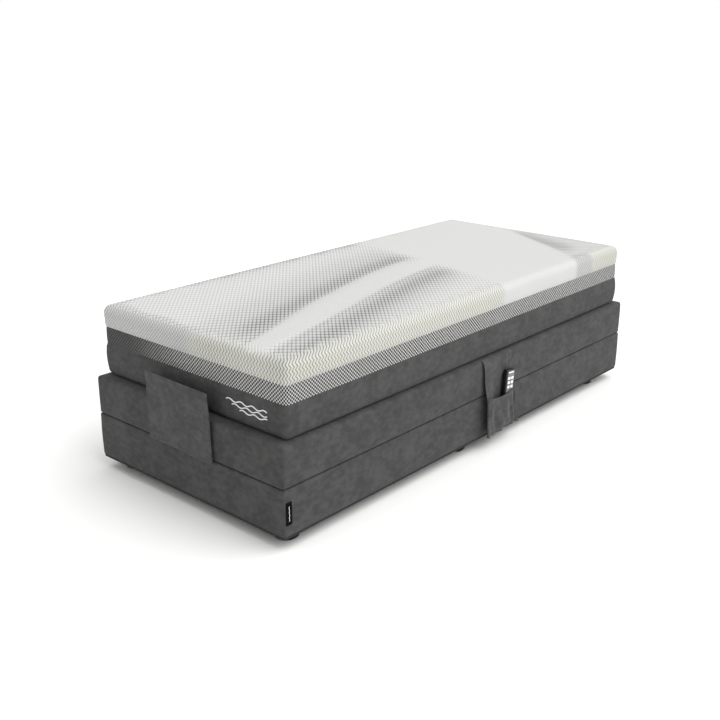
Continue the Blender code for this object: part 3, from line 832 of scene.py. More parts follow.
@dataclass(frozen=True)
class KnitCover:
    """Double-jacquard knitted mattress cover: white puffs over a darker ground.

    The knit swells in small diamonds, |sin a sin b| over two slanting directions. The pattern's
    shade, cream panels, smooth ribbon and plain cross panel are vertex values, because they follow
    the cover and not one axis.
    """

    name: str = "white_jacquard_knit"
    white: str = "#CCCCCB"
    plain_white: str = "#BFBFBE"
    ground: str = "#585858"
    cream: str = "#CAC9C0"
    cream_ground: str = "#7C7C73"
    cell_mm: float = 13.0
    stretch: float = 2.1
    top_pace: float = 0.72
    wall_pace: float = 0.95
    rib_mm: float = 11.0

    def make(self) -> bpy.types.Material:
        """Build the material."""
        n = Nodes(bpy.data.materials.new(self.name))
        x, y, z = n.axes()
        cloth_x, cloth_y, wall, flow, shade, ribbon, plain, cream = (
            n.add("Attribute", output="Fac", attribute_name=name)
            for name in ("cloth_x", "cloth_y", "wall", "flow", "shade", "ribbon", "plain", "cream")
        )
        pace = math.pi * 1000.0 / self.cell_mm
        wide = (cloth_x + cloth_y) * (pace * self.top_pace)
        slant = (cloth_x - cloth_y) * (pace * self.top_pace / self.stretch)
        level = x + y
        rise, fall = (level + z) * (pace * self.wall_pace), (level - z) * (pace * self.wall_pace)
        top_cells, wall_cells = abs(wide.sine() * slant.sine()), abs(rise.sine() * fall.sine())
        cells = top_cells * (1.0 - wall) + wall_cells * wall

        rib_pace = 2.0 * math.pi * 1000.0 / self.rib_mm
        ribs = (flow * rib_pace).sine() * 0.5 + 0.5
        wander = (z * 300.0).sine() * 0.004
        bars = ((level + wander) * (rib_pace * 0.8)).sine() * 0.5 + 0.5
        height = cells * (1.0 - ribbon) + ribs * ribbon
        height = height * (1.0 - cream) + bars * cream

        puff = n.add(
            "MapRange",
            {"Value": height, "From Min": 0.05, "From Max": 0.62},
            interpolation_type="SMOOTHSTEP",
        )
        gap = 1.0 - puff
        not_plain = 1.0 - plain * 0.70
        dark = gap * (shade * 0.62 + 0.28) * not_plain
        soft = shade * 0.30 * not_plain
        white, ground = linear(self.white), linear(self.ground)
        colour = n.add(
            "Mix", {0: plain * 0.5, 6: white, 7: linear(self.plain_white)}, 2, data_type="RGBA"
        )
        colour = n.add("Mix", {0: soft, 6: colour, 7: ground}, 2, data_type="RGBA")
        colour = n.add("Mix", {0: dark, 6: colour, 7: ground}, 2, data_type="RGBA")
        creamed = n.add(
            "Mix",
            {0: gap * 0.85, 6: linear(self.cream), 7: linear(self.cream_ground)},
            2,
            data_type="RGBA",
        )
        colour = n.add("Mix", {0: cream * 0.8, 6: colour, 7: creamed}, 2, data_type="RGBA")
        sockets = {
            "Base Color": colour,
            "Roughness": 0.85,
            "Sheen Weight": 0.10,
            "Specular IOR Level": 0.3,
        }
        return n.finish(sockets, height * not_plain, 2.2, 0.55)


@dataclass(frozen=True)
class SpacerMesh:
    """3-D spacer mesh: pale threads crossing over dark open cells, in a band a few cells high."""

    name: str = "spacer_mesh"
    thread: str = "#D8D8D6"
    hole: str = "#161617"
    cell_mm: float = 13.0

    def make(self) -> bpy.types.Material:
        """Build the material."""
        n = Nodes(bpy.data.materials.new(self.name))
        x, y, z = n.axes()
        pace = math.pi * 1000.0 / self.cell_mm
        along = x + y
        weave = abs(((along + z) * pace).sine() * ((along - z) * pace).sine())
        opening = n.add(
            "MapRange",
            {"Value": weave, "From Min": 0.08, "From Max": 0.34},
            interpolation_type="SMOOTHSTEP",
        )
        thread = 1.0 - opening
        bright = thread * n.add("Attribute", output="Fac", attribute_name="net")
        hole, pale = linear(self.hole), linear(self.thread)
        colour = n.add("Mix", {0: bright, 6: hole, 7: pale}, 2, data_type="RGBA")
        return n.finish({"Base Color": colour, "Roughness": 0.7}, thread, 1.6, 0.7)


@dataclass(frozen=True)
class Moulded:
    """Injection-moulded plastic or rubber: even colour with a fine spark-eroded grain."""

    name: str
    colour: str
    roughness: float
    grain_mm: float = 0.9
    bump_mm: float = 0.10
    coat: float = 0.0
    glow: float = 0.0
    gloss: float = 0.35

    def make(self) -> bpy.types.Material:
        """Build the material."""
        n = Nodes(bpy.data.materials.new(self.name))
        grain = n.clouds(self.grain_mm, 1.0)
        cloud = n.clouds(60.0, 2.0)
        base = linear(self.colour)
        low, high = shaded(base, 0.86), shaded(base, 1.12)
        sockets = {
            "Base Color": n.add("Mix", {0: cloud, 6: low, 7: high}, 2, data_type="RGBA"),
            "Roughness": self.roughness,
            "Specular IOR Level": self.gloss,
        }
        if self.coat:
            sockets["Coat Weight"] = self.coat
        if self.glow:
            sockets |= {"Emission Color": base, "Emission Strength": self.glow}
        return n.finish(sockets, grain, self.bump_mm, 0.4)


@dataclass(frozen=True)
class CoatedSteel:
    """Powder-coated steel: black, satin, with the orange peel that the baked powder leaves."""

    name: str = "powder_coated_steel"
    colour: str = "#26272A"
    light: str = "#303134"

    def make(self) -> bpy.types.Material:
        """Build the material."""
        n = Nodes(bpy.data.materials.new(self.name))
        peel = n.clouds(3.0, 1.0)
        cloud = n.clouds(120.0, 2.0)
        low, high = linear(self.colour), linear(self.light)
        colour = n.add("Mix", {0: cloud, 6: low, 7: high}, 2, data_type="RGBA")
        return n.finish({"Base Color": colour, "Roughness": 0.48}, peel, 0.25, 0.35)


@dataclass(frozen=True)
class ZincSteel:
    """Zinc-plated, ground steel rod: bright grey metal with fine scratches along its length."""

    name: str = "zinc_plated_steel"
    colour: str = "#B9BDC0"
    worn: str = "#A2A6A9"

    def make(self) -> bpy.types.Material:
        """Build the material."""
        n = Nodes(bpy.data.materials.new(self.name))
        scratch = n.clouds(1.2, 2.0, (14.0, 1.0, 1.0))
        low, high = linear(self.worn), linear(self.colour)
        sockets = {
            "Base Color": n.add("Mix", {0: scratch, 6: low, 7: high}, 2, data_type="RGBA"),
            "Metallic": 1.0,
            "Roughness": scratch * 0.15 + 0.28,
        }
        return n.finish(sockets, scratch, 0.05, 0.3)


@dataclass(frozen=True)
class Spunbond:
    """Black spunbond lining: thin felted polypropylene with a grid of small welded points."""

    name: str = "black_spunbond_lining"
    colour: str = "#1C1C1E"
    light: str = "#2A2A2D"
    point_mm: float = 4.0

    def make(self) -> bpy.types.Material:
        """Build the material."""
        n = Nodes(bpy.data.materials.new(self.name))
        x, y, _ = n.axes()
        pace = 2.0 * math.pi * 1000.0 / self.point_mm
        dots = (x * pace).sine() * (y * pace).sine()
        fibre = n.clouds(9.0, 3.0)
        low, high = linear(self.colour), linear(self.light)
        colour = n.add("Mix", {0: fibre, 6: low, 7: high}, 2, data_type="RGBA")
        return n.finish({"Base Color": colour, "Roughness": 0.88}, dots + fibre, 0.4, 0.4)


Finish = Microfibre | KnitCover | SpacerMesh | Moulded | CoatedSteel | ZincSteel | Spunbond


def made(finish: Finish) -> bpy.types.Material:
    """A field whose material is made when the finishes are."""
    return field(default_factory=finish.make)


@dataclass
class Finishes:
    """Every material of the bed, made once."""

    upholstery: bpy.types.Material = made(Microfibre("dark_grey_microfibre", "#404040"))
    border: bpy.types.Material = made(Microfibre("mattress_border_microfibre", "#404040"))
    pocket: bpy.types.Material = made(Microfibre("pocket_microfibre", "#454545", patch_mm=60.0))
    knit: bpy.types.Material = made(KnitCover())
    mesh: bpy.types.Material = made(SpacerMesh())
    lining: bpy.types.Material = made(Spunbond())
    steel: bpy.types.Material = made(CoatedSteel())
    zinc: bpy.types.Material = made(ZincSteel())
    foot: bpy.types.Material = made(Moulded("black_polypropylene", "#141415", 0.5, gloss=0.2))
    motor: bpy.types.Material = made(Moulded("charcoal_abs", "#2C2D30", 0.45))
    handset: bpy.types.Material = made(Moulded("black_abs", "#121214", 0.32, coat=0.2))
    faceplate: bpy.types.Material = made(
        Moulded("silver_lacquered_abs", "#67696B", 0.30, coat=0.3)
    )
    keys: bpy.types.Material = made(Moulded("white_silicone", "#F2F2EF", 0.5, bump_mm=0.05))
    lamp: bpy.types.Material = made(Moulded("frosted_lens", "#F6F6F6", 0.25, glow=0.15))
    thread: bpy.types.Material = made(Moulded("embroidery_thread", "#E4E4E4", 0.55, bump_mm=0.2))
    label: bpy.types.Material = made(
        Moulded("woven_satin_label", "#070707", 0.7, bump_mm=0.2, gloss=0.05)
    )


# Soft parts --------------------------------------------------------------------------------------


def cloth_ripple(points: Array, height: float) -> Array:
    """Slow unevenness of stretched cloth: three crossed sine waves of different lengths.

    Args:
        points: Places in the bed's own frame, n by 3.
        height: The highest that the waves reach.

    Returns:
        How far each point stands out.
    """
    x, y, z = points[:, 0], points[:, 1], points[:, 2]
    wave = np.sin(9.1 * y + 5.3 * x + 11.0 * z) + 0.6 * np.sin(23.7 * y - 17.9 * x + 31.0 * z)
    return height * (wave + 0.5 * np.sin(41.0 * y + 37.0 * x - 19.0 * z)) / 2.1


def push_sides(points: Array, half_width: float, half_length: float, amount: Array) -> Array:
    """Move points of the side faces along X, and of the end faces along Y, by amount.

    How much a point belongs to a side or an end grows over the last few millimetres before it.

    Args:
        points: Places in the bed's own frame, n by 3.
        half_width: Place of the side faces.
        half_length: Place of the end faces.
        amount: How far each point moves out.

    Returns:
        The moved points.
    """
    x, y = points[:, 0], points[:, 1]
    side = smooth(half_width - 0.012, half_width - 0.001, np.abs(x))
    end = smooth(half_length - 0.012, half_length - 0.001, np.abs(y))
    moved = points.copy()
    moved[:, 0] += np.sign(x) * side * amount
    moved[:, 1] += np.sign(y) * end * amount
    return moved


def joined(*runs: tuple[Array, Array]) -> tuple[Array, Array]:
    """Join runs of insets and heights into one profile."""
    inset, height = zip(*runs)
    return np.concatenate(inset), np.concatenate(height)


def arc_levels(
    low: float, high: float, radius: float, count: int, top: bool
) -> tuple[Array, Array]:
    """Inset and height of a quarter circle between a flat patch and an upright side.

    Args:
        low: Height where the arc starts.
        high: Height where it ends.
        radius: Its reach across.
        count: Points, both ends included.
        top: The upper edge, which goes from the side to the patch.

    Returns:
        Insets and heights, from bottom to top.
    """
    angle = np.linspace(0.0, math.pi / 2, count)
    if top:
        return radius * (1.0 - np.cos(angle)), low + (high - low) * np.sin(angle)
    return radius * (1.0 - np.sin(angle)), low + (high - low) * (1.0 - np.cos(angle))


@dataclass
class UpholsteredBox:
    """The fixed lower box: one cloth cover round four boards, on six turned feet."""

    bed: BedFrame
    finishes: Finishes
    corner: float = 0.006
    edge: float = 0.005
    wall: float = 0.022
    swell: float = 0.0008
    ripple: float = 0.0006
    step: float = 0.012
    strip_drop: float = 0.008

    def cover(self) -> bpy.types.Object:
        """The cover: a closed profile with rounded edges, carried round the box."""
        low, high, edge = self.bed.box_bottom, self.bed.box_top, self.edge
        wall = self.wall
        turn = np.linspace(0.0, math.pi / 2, 5)[1:]
        in_turn, up_turn = 1.0 - np.cos(turn), np.sin(turn)
        profile = joined(
            (np.zeros(14), np.linspace(low + edge, high - edge, 14)),
            (edge * in_turn, high - edge + edge * up_turn),
            (wall - edge * (1.0 - up_turn) * 0.5, high - edge * 0.5 * in_turn),
            (np.full(3, wall), np.linspace(high - edge, low + edge, 3)),
            (np.array((wall - 0.003, edge, edge * 0.3)), np.array((low, low, low + edge * 0.3))),
        )
        size = (self.bed.half_width, self.bed.half_length, self.corner)

        def shape(points: Array) -> Array:
            """Swell the cloth between the box's edges, and let it ripple."""
            rise = np.clip((points[:, 2] - low) / (high - low), 0.0, 1.0)
            bulge = np.sin(math.pi * rise)
            amount = self.swell * bulge + cloth_ripple(points, self.ripple) * bulge
            return push_sides(points, self.bed.half_width, self.bed.half_length, amount)

        piece = band("box_cover", self.bed, size, profile, self.step, shape)
        piece.data.materials.append(self.finishes.upholstery)
        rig.replaces(piece, "side_panel_left", "side_panel_right", "foot_panel", "head_panel")
        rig.slot(piece, "upholstery")
        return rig.ride(piece, "base")

    def base_strip(self) -> bpy.types.Object:
        """A black strip under the cover's lower edge, a little set back: painted shadow, standing for the shade in the
        gap under the box.
        """
        # The strip's black is painted shadow of the gap between the box and the floor.
        low, width = self.bed.box_bottom - self.strip_drop, 0.010
        side = np.array((0.0, 0.0, 0.0008, width, width, width, 0.0008))
        top = low + 0.0086
        height = np.array((low + 0.001, self.bed.box_bottom, top, top, low + 0.004, low, low))
        set_back = 0.0018
        size = (self.bed.half_width - set_back, self.bed.half_length - set_back, self.corner)
        piece = band(
            "box_base_strip", self.bed, size, (side, height), self.step * 2, lambda points: points
        )
        piece.data.materials.append(self.finishes.lining)
        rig.slot(piece, "board")
        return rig.ride(piece, "base")

    def feet(self) -> list[bpy.types.Object]:
        """Six turned feet: a glide pad, a slightly tapered body with a groove, and a top flange."""
        made = []
        for name in sorted(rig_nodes("foot_foot", "foot_middle", "foot_head")):
            low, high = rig.box(name)
            x = (low.x + high.x) / 2 - self.bed.centre_x
            y = (low.y + high.y) / 2 - self.bed.centre_y
            r = (high.x - low.x) / 2
            top = high.z
            profile = np.array(
                (
                    (r * 0.55, 0.0),
                    (r * 0.80, 0.0),
                    (r * 0.82, 0.0015),
                    (r * 0.82, 0.0035),
                    (r * 0.90, 0.0035),
                    (r * 0.93, 0.0060),
                    (r * 0.95, top * 0.45),
                    (r * 0.965, top - 0.0100),
                    (r * 0.945, top - 0.0092),
                    (r * 0.945, top - 0.0075),
                    (r * 0.985, top - 0.0068),
                    (r, top - 0.0050),
                    (r, top - 0.0008),
                    (r * 0.985, top),
                    (r * 0.40, top),
                )
            )
            piece = turned(f"{name}_turned", self.bed, (x, y), profile)
            piece.data.materials.append(self.finishes.foot)
            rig.replaces(piece, name)
            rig.slot(piece, "feet")
            made.append(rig.ride(piece, "base"))
        return made

    def label(self) -> bpy.types.Object:
        """The black woven label on the +X side by the foot end, with one wavy stitch."""
        width, low, high = 0.024, self.bed.box_bottom + 0.042, self.bed.box_bottom + 0.118
        y_start = -self.bed.half_length + 0.006
        along = np.linspace(0.0, width, 9)
        up = np.linspace(low, high, 13)
        corner = self.corner
        y = y_start + along
        depth = np.clip(-self.bed.half_length + corner - y, 0.0, corner)
        x = self.bed.half_width - corner + np.sqrt(corner**2 - depth**2)
        grid = np.empty((len(up), len(along), 3))
        grid[..., 0] = x + 0.0036
        grid[..., 1] = y
        grid[..., 2] = up[:, None]
        grid[..., 0] += 0.0006 * np.sin(math.pi * (up - low) / (high - low))[:, None]
        piece = cloth_sheet("woven_label", self.bed, grid, 0.0010)
        piece.data.materials.append(self.finishes.label)
        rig.slot(piece, "flap_and_pocket")
        middle = grid[2:-2, 4] + np.array((0.0006, 0.0, 0.0))
        middle[:, 1] += 0.0016 * np.sin(np.arange(len(middle)) * 2.4)
        stripe = tube("label_stitch", self.bed, middle, 0.0010, 6)
        stripe.data.materials.append(self.finishes.thread)
        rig.slot(stripe, "flap_and_pocket")
        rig.ride(stripe, "base")
        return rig.ride(piece, "base")

    def build(self) -> None:
        """Make the cover, the feet and the label."""
        LOG.info("box: %s, %s", self.cover().name, self.base_strip().name)
        LOG.info("feet: %d", len(self.feet()))
        LOG.info("label: %s", self.label().name)


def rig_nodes(*starts: str) -> list[str]:
    """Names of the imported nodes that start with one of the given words."""
    return [o.name for o in bpy.data.objects if o.get("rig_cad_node") and o.name.startswith(starts)]


@dataclass
class FoldingLayer:
    """The upholstered layer that folds: a padded top with skirts, in three parts that join unseen.

    Under each hinge the padding is thin, which leaves room for the hinge rods and the arms' eyes.
    """

    bed: BedFrame
    finishes: Finishes
    split_back: float
    split_leg: float
    folds: dict[str, Fold]
    hinges: tuple[float, ...]
    corner: float = 0.009
    top_edge: float = 0.011
    wall: float = 0.022
    low_edge: float = 0.005
    channel: float = 0.0175
    channel_top: float = 0.0045

    def profile(self) -> tuple[Array, Array]:
        """Inset and height from the underside's edge, down inside the skirt, and up outside it."""
        wall, low = self.wall, self.low_edge
        under, hem = self.bed.platform_bottom, self.bed.skirt_bottom
        top = self.bed.platform_top - self.top_edge
        side = np.linspace(hem + low, top, 12)[1:-1]
        return joined(
            (np.array((wall, wall, wall)), np.array((under, (under + hem) / 2, hem + low))),
            (np.array((wall - 0.002, wall - low, low)), np.array((hem + 0.001, hem, hem))),
            (np.array((low * 0.3, 0.0)), np.array((hem + low * 0.3, hem + low))),
            (np.zeros(len(side)), side),
            arc_levels(top, self.bed.platform_top, self.top_edge, 7, True),
        )

    def shape(self, points: Array) -> Array:
        """Swell the skirts, let the cloth ripple, and thin the padding over the hinges.

        Args:
            points: Places in the bed's own frame, n by 3.

        Returns:
            The moved places.
        """
        bed = self.bed
        skirt = bed.platform_top - bed.skirt_bottom
        rise = np.clip((points[:, 2] - bed.skirt_bottom) / skirt, 0.0, 1.0)
        outer = np.maximum(
            smooth(bed.half_width - 0.016, bed.half_width - 0.008, np.abs(points[:, 0])),
            smooth(bed.half_length - 0.016, bed.half_length - 0.008, np.abs(points[:, 1])),
        )
        amount = outer * np.sin(math.pi * rise) * (0.0008 + cloth_ripple(points, 0.0006))
        moved = push_sides(points, bed.half_width, bed.half_length, amount)
        inside = (np.abs(points[:, 0]) < bed.half_width - self.wall + 0.001) & (
            np.abs(points[:, 2] - bed.platform_bottom) < 0.001
        )
        for hinge in self.hinges:
            near = inside & (np.abs(points[:, 1] - hinge) < self.channel)
            moved[near, 2] = bed.platform_top - self.channel_top
        return moved

    def part(
        self, name: str, start: float, stop: float, wall: Side, nodes: tuple[str, ...]
    ) -> bpy.types.Object:
        """One part of the layer.

        Args:
            name: Its name, which is also its fold's.
            start: Lower Y.
            stop: Upper Y.
            wall: Its closed end.
            nodes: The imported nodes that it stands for.

        Returns:
            The piece.
        """
        inset, height = self.profile()
        edge = self.channel
        about = (-edge - 0.0005, -edge + 0.0005, edge - 0.0005, edge + 0.0005)
        rows = tuple(h + d for h in self.hinges for d in about)
        block = SoftBlock(
            half_width=self.bed.half_width,
            start=start,
            stop=stop,
            wall=wall,
            corner=self.corner,
            inset=inset,
            height=height,
            columns=27,
            extra_rows=rows,
        )
        piece = block.build(name, self.bed, self.shape)
        piece.data.materials.append(self.finishes.upholstery)
        piece.data.materials.append(self.finishes.lining)
        centres = face_centres(piece)
        inner = (
            (np.abs(centres[:, 0] - self.bed.centre_x) < self.bed.half_width - self.wall + 0.002)
            & (np.abs(centres[:, 1] - self.bed.centre_y) < self.bed.half_length - self.wall + 0.002)
            & (centres[:, 2] < self.bed.platform_top - 0.002)
        )
        piece.data.polygons.foreach_set("material_index", inner.astype(np.int32))
        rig.replaces(piece, *nodes)
        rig.slot(piece, "upholstery")
        fold = self.folds[name]
        start_at, end_at = self.bed.at_y(fold.start), self.bed.at_y(fold.end)
        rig.blend(piece, fold.body_a, fold.body_b, start=start_at, end=end_at)
        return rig.padded(piece, fill=0.8)

    def build(self) -> None:
        """Make the three parts."""
        end = self.bed.half_length
        parts = (
            (
                "layer_back",
                self.split_back,
                end,
                Side.HEAD,
                ("back_platform", "back_skirt_left", "back_skirt_right", "back_skirt_end"),
            ),
            (
                "layer_middle",
                self.split_leg,
                self.split_back,
                Side.NONE,
                ("seat_platform", "seat_skirt_left", "seat_skirt_right")
                + ("thigh_platform", "thigh_skirt_left", "thigh_skirt_right"),
            ),
            (
                "layer_leg",
                -end,
                self.split_leg,
                Side.FOOT,
                ("leg_platform", "leg_skirt_left", "leg_skirt_right", "leg_skirt_end"),
            ),
        )
        for name, start, stop, wall, nodes in parts:
            LOG.info("layer: %s", self.part(name, start, stop, wall, nodes).name)


@dataclass
class Mattress:
    """The mattress: border, spacer mesh band, piping and knitted cover, in three joined parts."""

    bed: BedFrame
    finishes: Finishes
    split_back: float
    split_leg: float
    folds: dict[str, Fold]
    corner: float = 0.016
    corner_growth: float = 0.006
    low_across: float = 0.016
    low_up: float = 0.024
    top_across: float = 0.028
    top_up: float = 0.027
    mesh_low: float = 0.467
    mesh_high: float = 0.528
    crown: float = 0.004
    seam_depth: float = 0.0022
    border_swell: float = 0.0042
    mesh_swell: float = 0.0012
    cover_swell: float = 0.0016
    ripple: float = 0.0012

    def profile(self) -> tuple[Array, Array]:
        """Inset and height from the underside to the top.

        The border swells over its height. The mesh lies a little deeper, and the cover's edge
        stands over it.
        """
        bed = self.bed
        low_inset, low_height = arc_levels(
            bed.mattress_low, bed.mattress_low + self.low_up, self.low_across, 8, False
        )
        top_inset, top_height = arc_levels(
            bed.mattress_high - self.top_up, bed.mattress_high, self.top_across, 9, True
        )
        inset, height = [low_inset], [low_height]
        below = low_height[-1]
        for seam, count, swell, depth in (
            (self.mesh_low, 8, self.border_swell, 0.0),
            (self.mesh_high, 6, self.mesh_swell, self.seam_depth),
        ):
            run = np.linspace(below, seam, count + 2)[1:]
            share = (run - below) / (seam - below)
            inset.append(depth - swell * np.sin(math.pi * share))
            height.append(run)
            inset[-1][-1] = self.seam_depth
            below = seam
        inset.append(np.array((self.seam_depth, 0.0004)))
        height.append(np.array((below + 0.0012, below + 0.0042)))
        below = below + 0.0042
        run = np.linspace(below, top_height[0], 5)[1:-1]
        share = (run - below) / (top_height[0] - below)
        inset.append(-self.cover_swell * np.sin(math.pi / 2 * share))
        height.append(run)
        fade = np.linspace(1.0, 0.0, len(top_inset))
        inset.append(top_inset - self.cover_swell * fade)
        height.append(top_height)
        return np.concatenate(inset), np.concatenate(height)

    def shape(self, points: Array) -> Array:
        """Crown the top, let it undulate, and let the sides ripple.

        The crown is (1 - (x/a)^4)(1 - (y/b)^12), a low even dome that is flat in the middle.

        Args:
            points: Places in the bed's own frame, n by 3.

        Returns:
            The moved places.
        """
        bed = self.bed
        x, y, z = points[:, 0], points[:, 1], points[:, 2]
        across = np.clip(np.abs(x) / (bed.mattress_half_width - 0.02), 0.0, 1.0)
        along = np.clip(np.abs(y) / (bed.mattress_half_length - 0.02), 0.0, 1.0)
        dome = (1.0 - across**4) * (1.0 - along**12)
        lift = smooth(bed.mattress_high - self.top_up, bed.mattress_high, z)
        wave = np.sin(7.3 * y + 2.1 * x) * np.sin(5.9 * x - 1.7 * y + 0.6)
        moved = points.copy()
        moved[:, 2] += lift * dome * (self.crown + 0.0012 * wave)
        band_share = smooth(bed.mattress_low + 0.02, bed.mattress_low + 0.06, z)
        band_share *= 1.0 - smooth(0.585, 0.60, z)
        half_w, half_l = bed.mattress_half_width, bed.mattress_half_length
        return push_sides(moved, half_w, half_l, cloth_ripple(points, self.ripple) * band_share)

    def pattern(self, piece: bpy.types.Object) -> None:
        """Store the cover's pattern as vertex values.

        The cloth's own x and y grow down the sides, as if it were laid flat, so its lattice turns
        over the edges. A smooth ribbon runs from the foot end's +X corner to the middle of the bed
        along x = 0.0354 ln(1 + exp(-y / 0.12)), which is straight at first and then turns. Shade
        lies in bell curves on both sides of it and fades outwards. A plain panel crosses the bed
        between two slanting lines, and cream panels run along the edges. The net's threads are
        darker on the foot end towards -X.

        Args:
            piece: The part of the mattress.
        """
        places = vertex_places(piece)
        x = places[:, 0] - self.bed.centre_x
        y = places[:, 1] - self.bed.centre_y
        z = places[:, 2]
        flow = x - 0.0354 * np.log1p(np.exp(-y / 0.12))
        near_line = 0.22 - 0.21 * x
        far_line = 0.89 - 0.55 * x
        plain = smooth(-0.012, 0.012, y - near_line) * smooth(-0.012, 0.012, far_line - y)
        foot_zone = 1.0 - smooth(-0.10, 0.04, y - near_line)
        spread = 0.55 + 0.45 * smooth(-1.0, -0.45, y)
        across = flow / spread
        ribbon = foot_zone * smooth(-0.080, -0.045, across) * (1.0 - smooth(0.060, 0.095, across))
        left = hill(-0.095, 0.060, flow) * smooth(-1.05, -0.80, y)
        left += 0.35 * hill(-0.20, 0.10, flow)
        right = hill(0.150, 0.055, flow) + 0.35 * hill(0.22, 0.07, flow)
        inner = 0.35 * hill(-0.045, 0.012, flow) + 0.35 * hill(0.085, 0.014, flow)
        far_edge = 0.5 * hill(-0.46, 0.07, x) * smooth(-0.70, -0.45, y)
        shade = foot_zone * np.clip(0.85 * left + 0.80 * right + inner + far_edge, 0.0, 1.0)
        beyond = smooth(0.0, 0.03, y - far_line)
        patch = hill(0.0, 0.06, y - 0.89 + 0.33 * x)
        patch *= smooth(-0.10, 0.05, x) * (1.0 - smooth(0.26, 0.40, x))
        shade += beyond * (0.15 + 0.65 * patch)
        edge_x = smooth(0.392, 0.418, np.abs(x) + 0.010 * np.sin(38.0 * y))
        edge_y = smooth(0.945, 0.968, np.abs(y) + 0.008 * np.sin(31.0 * x))
        from_line = 1.0 - smooth(-0.03, 0.0, y - near_line)
        cream = edge_x * from_line * smooth(-0.2, 0.1, x)
        cream = np.maximum(cream, edge_y * smooth(-0.05, 0.12, x) * (1.0 - smooth(0.0, 0.1, y)))
        cream = np.maximum(cream, edge_x * smooth(0.76, 0.80, y) * (x > 0))
        far_run = smooth(0.30, 0.34, y) * (1.0 - smooth(0.86, 0.90, y))
        cream = np.maximum(cream, edge_x * (x < 0) * far_run)
        cream = np.maximum(cream, edge_y * (y > 0) * (1.0 - smooth(-0.1, 0.1, x)))
        shade += 0.35 * (1.0 - cream) * np.maximum(edge_x, edge_y) * (1.0 - plain)
        drop = self.bed.mattress_high - z
        half_w, half_l = self.bed.mattress_half_width, self.bed.mattress_half_length
        wall_x = smooth(half_w - 0.03, half_w - 0.01, np.abs(x))
        wall_y = smooth(half_l - 0.03, half_l - 0.01, np.abs(y))
        shade *= 1.0 - 0.9 * ribbon
        cream *= 0.55 + 0.45 * (1.0 - smooth(0.590, 0.603, z))
        for name, values in (
            ("cloth_x", x + np.sign(x) * wall_x * drop),
            ("cloth_y", y + np.sign(y) * wall_y * drop),
            ("wall", np.maximum(wall_x, wall_y)),
            ("flow", flow),
            ("shade", np.clip(shade, 0.0, 1.0)),
            ("ribbon", ribbon),
            ("plain", plain),
            ("cream", cream),
            ("net", np.where(y < -half_l + 0.02, 0.12 + 0.88 * smooth(-0.33, 0.05, x), 1.0)),
        ):
            set_values(piece, name, values)

    def dress(self, piece: bpy.types.Object) -> None:
        """Give each face its material by its height: border, mesh, cover."""
        for material in (self.finishes.border, self.finishes.mesh, self.finishes.knit):
            piece.data.materials.append(material)
        z = face_centres(piece)[:, 2]
        index = np.zeros(len(z), np.int32)
        index[z > self.mesh_low] = 1
        index[z > self.mesh_high] = 2
        piece.data.polygons.foreach_set("material_index", index)

    def part(
        self, name: str, start: float, stop: float, wall: Side, nodes: tuple[str, ...]
    ) -> bpy.types.Object:
        """One part of the mattress.

        Args:
            name: Its name, which is also its fold's.
            start: Lower Y.
            stop: Upper Y.
            wall: Its closed end.
            nodes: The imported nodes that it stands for.

        Returns:
            The piece.
        """
        inset, height = self.profile()
        block = SoftBlock(
            half_width=self.bed.mattress_half_width,
            start=start,
            stop=stop,
            wall=wall,
            corner=self.corner + self.corner_growth * smooth(0.42, 0.54, height),
            inset=inset,
            height=height,
            columns=69,
        )
        piece = block.build(name, self.bed, self.shape)
        self.pattern(piece)
        self.dress(piece)
        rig.replaces(piece, *nodes)
        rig.slot(piece, "mattress")
        fold = self.folds[name]
        start_at, end_at = self.bed.at_y(fold.start), self.bed.at_y(fold.end)
        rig.blend(piece, fold.body_a, fold.body_b, start=start_at, end=end_at)
        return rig.padded(piece, fill=0.9)

    def motif(self) -> list[bpy.types.Object]:
        """Three short embroidered waves on the foot end's border, a made-up ornament.

        Each wave is z = z0 + a sin(2 pi x / length).
        """
        made = []
        low_z = self.bed.mattress_low + self.low_up
        for number, (low, high) in enumerate(((0.190, 0.372), (0.216, 0.372), (0.250, 0.372))):
            x = np.linspace(low, high, 60)
            z = 0.428 - 0.013 * number + 0.0036 * np.sin(2.0 * math.pi * (x - low) / 0.052)
            share = (z - low_z) / (self.mesh_low - low_z)
            y = -self.bed.mattress_half_length - self.border_swell * np.sin(math.pi * share)
            path = np.stack((x, y, z), axis=1)
            path[:, 1] -= cloth_ripple(path, self.ripple) + 0.0006
            piece = tube(f"border_embroidery_{number + 1}", self.bed, path, 0.0019, 8)
            piece.data.materials.append(self.finishes.thread)
            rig.slot(piece, "mattress")
            made.append(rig.ride(piece, "leg"))
        return made

    def build(self) -> None:
        """Make the three parts and the embroidery."""
        end = self.bed.mattress_half_length
        parts = (
            ("mattress_head_part", self.split_back, end, Side.HEAD, ("mattress_back",)),
            (
                "mattress_middle_part",
                self.split_leg,
                self.split_back,
                Side.NONE,
                ("mattress_seat", "mattress_thigh"),
            ),
            ("mattress_foot_part", -end, self.split_leg, Side.FOOT, ("mattress_leg",)),
        )
        for name, start, stop, wall, nodes in parts:
            LOG.info("mattress: %s", self.part(name, start, stop, wall, nodes).name)
        LOG.info("embroidery: %d", len(self.motif()))


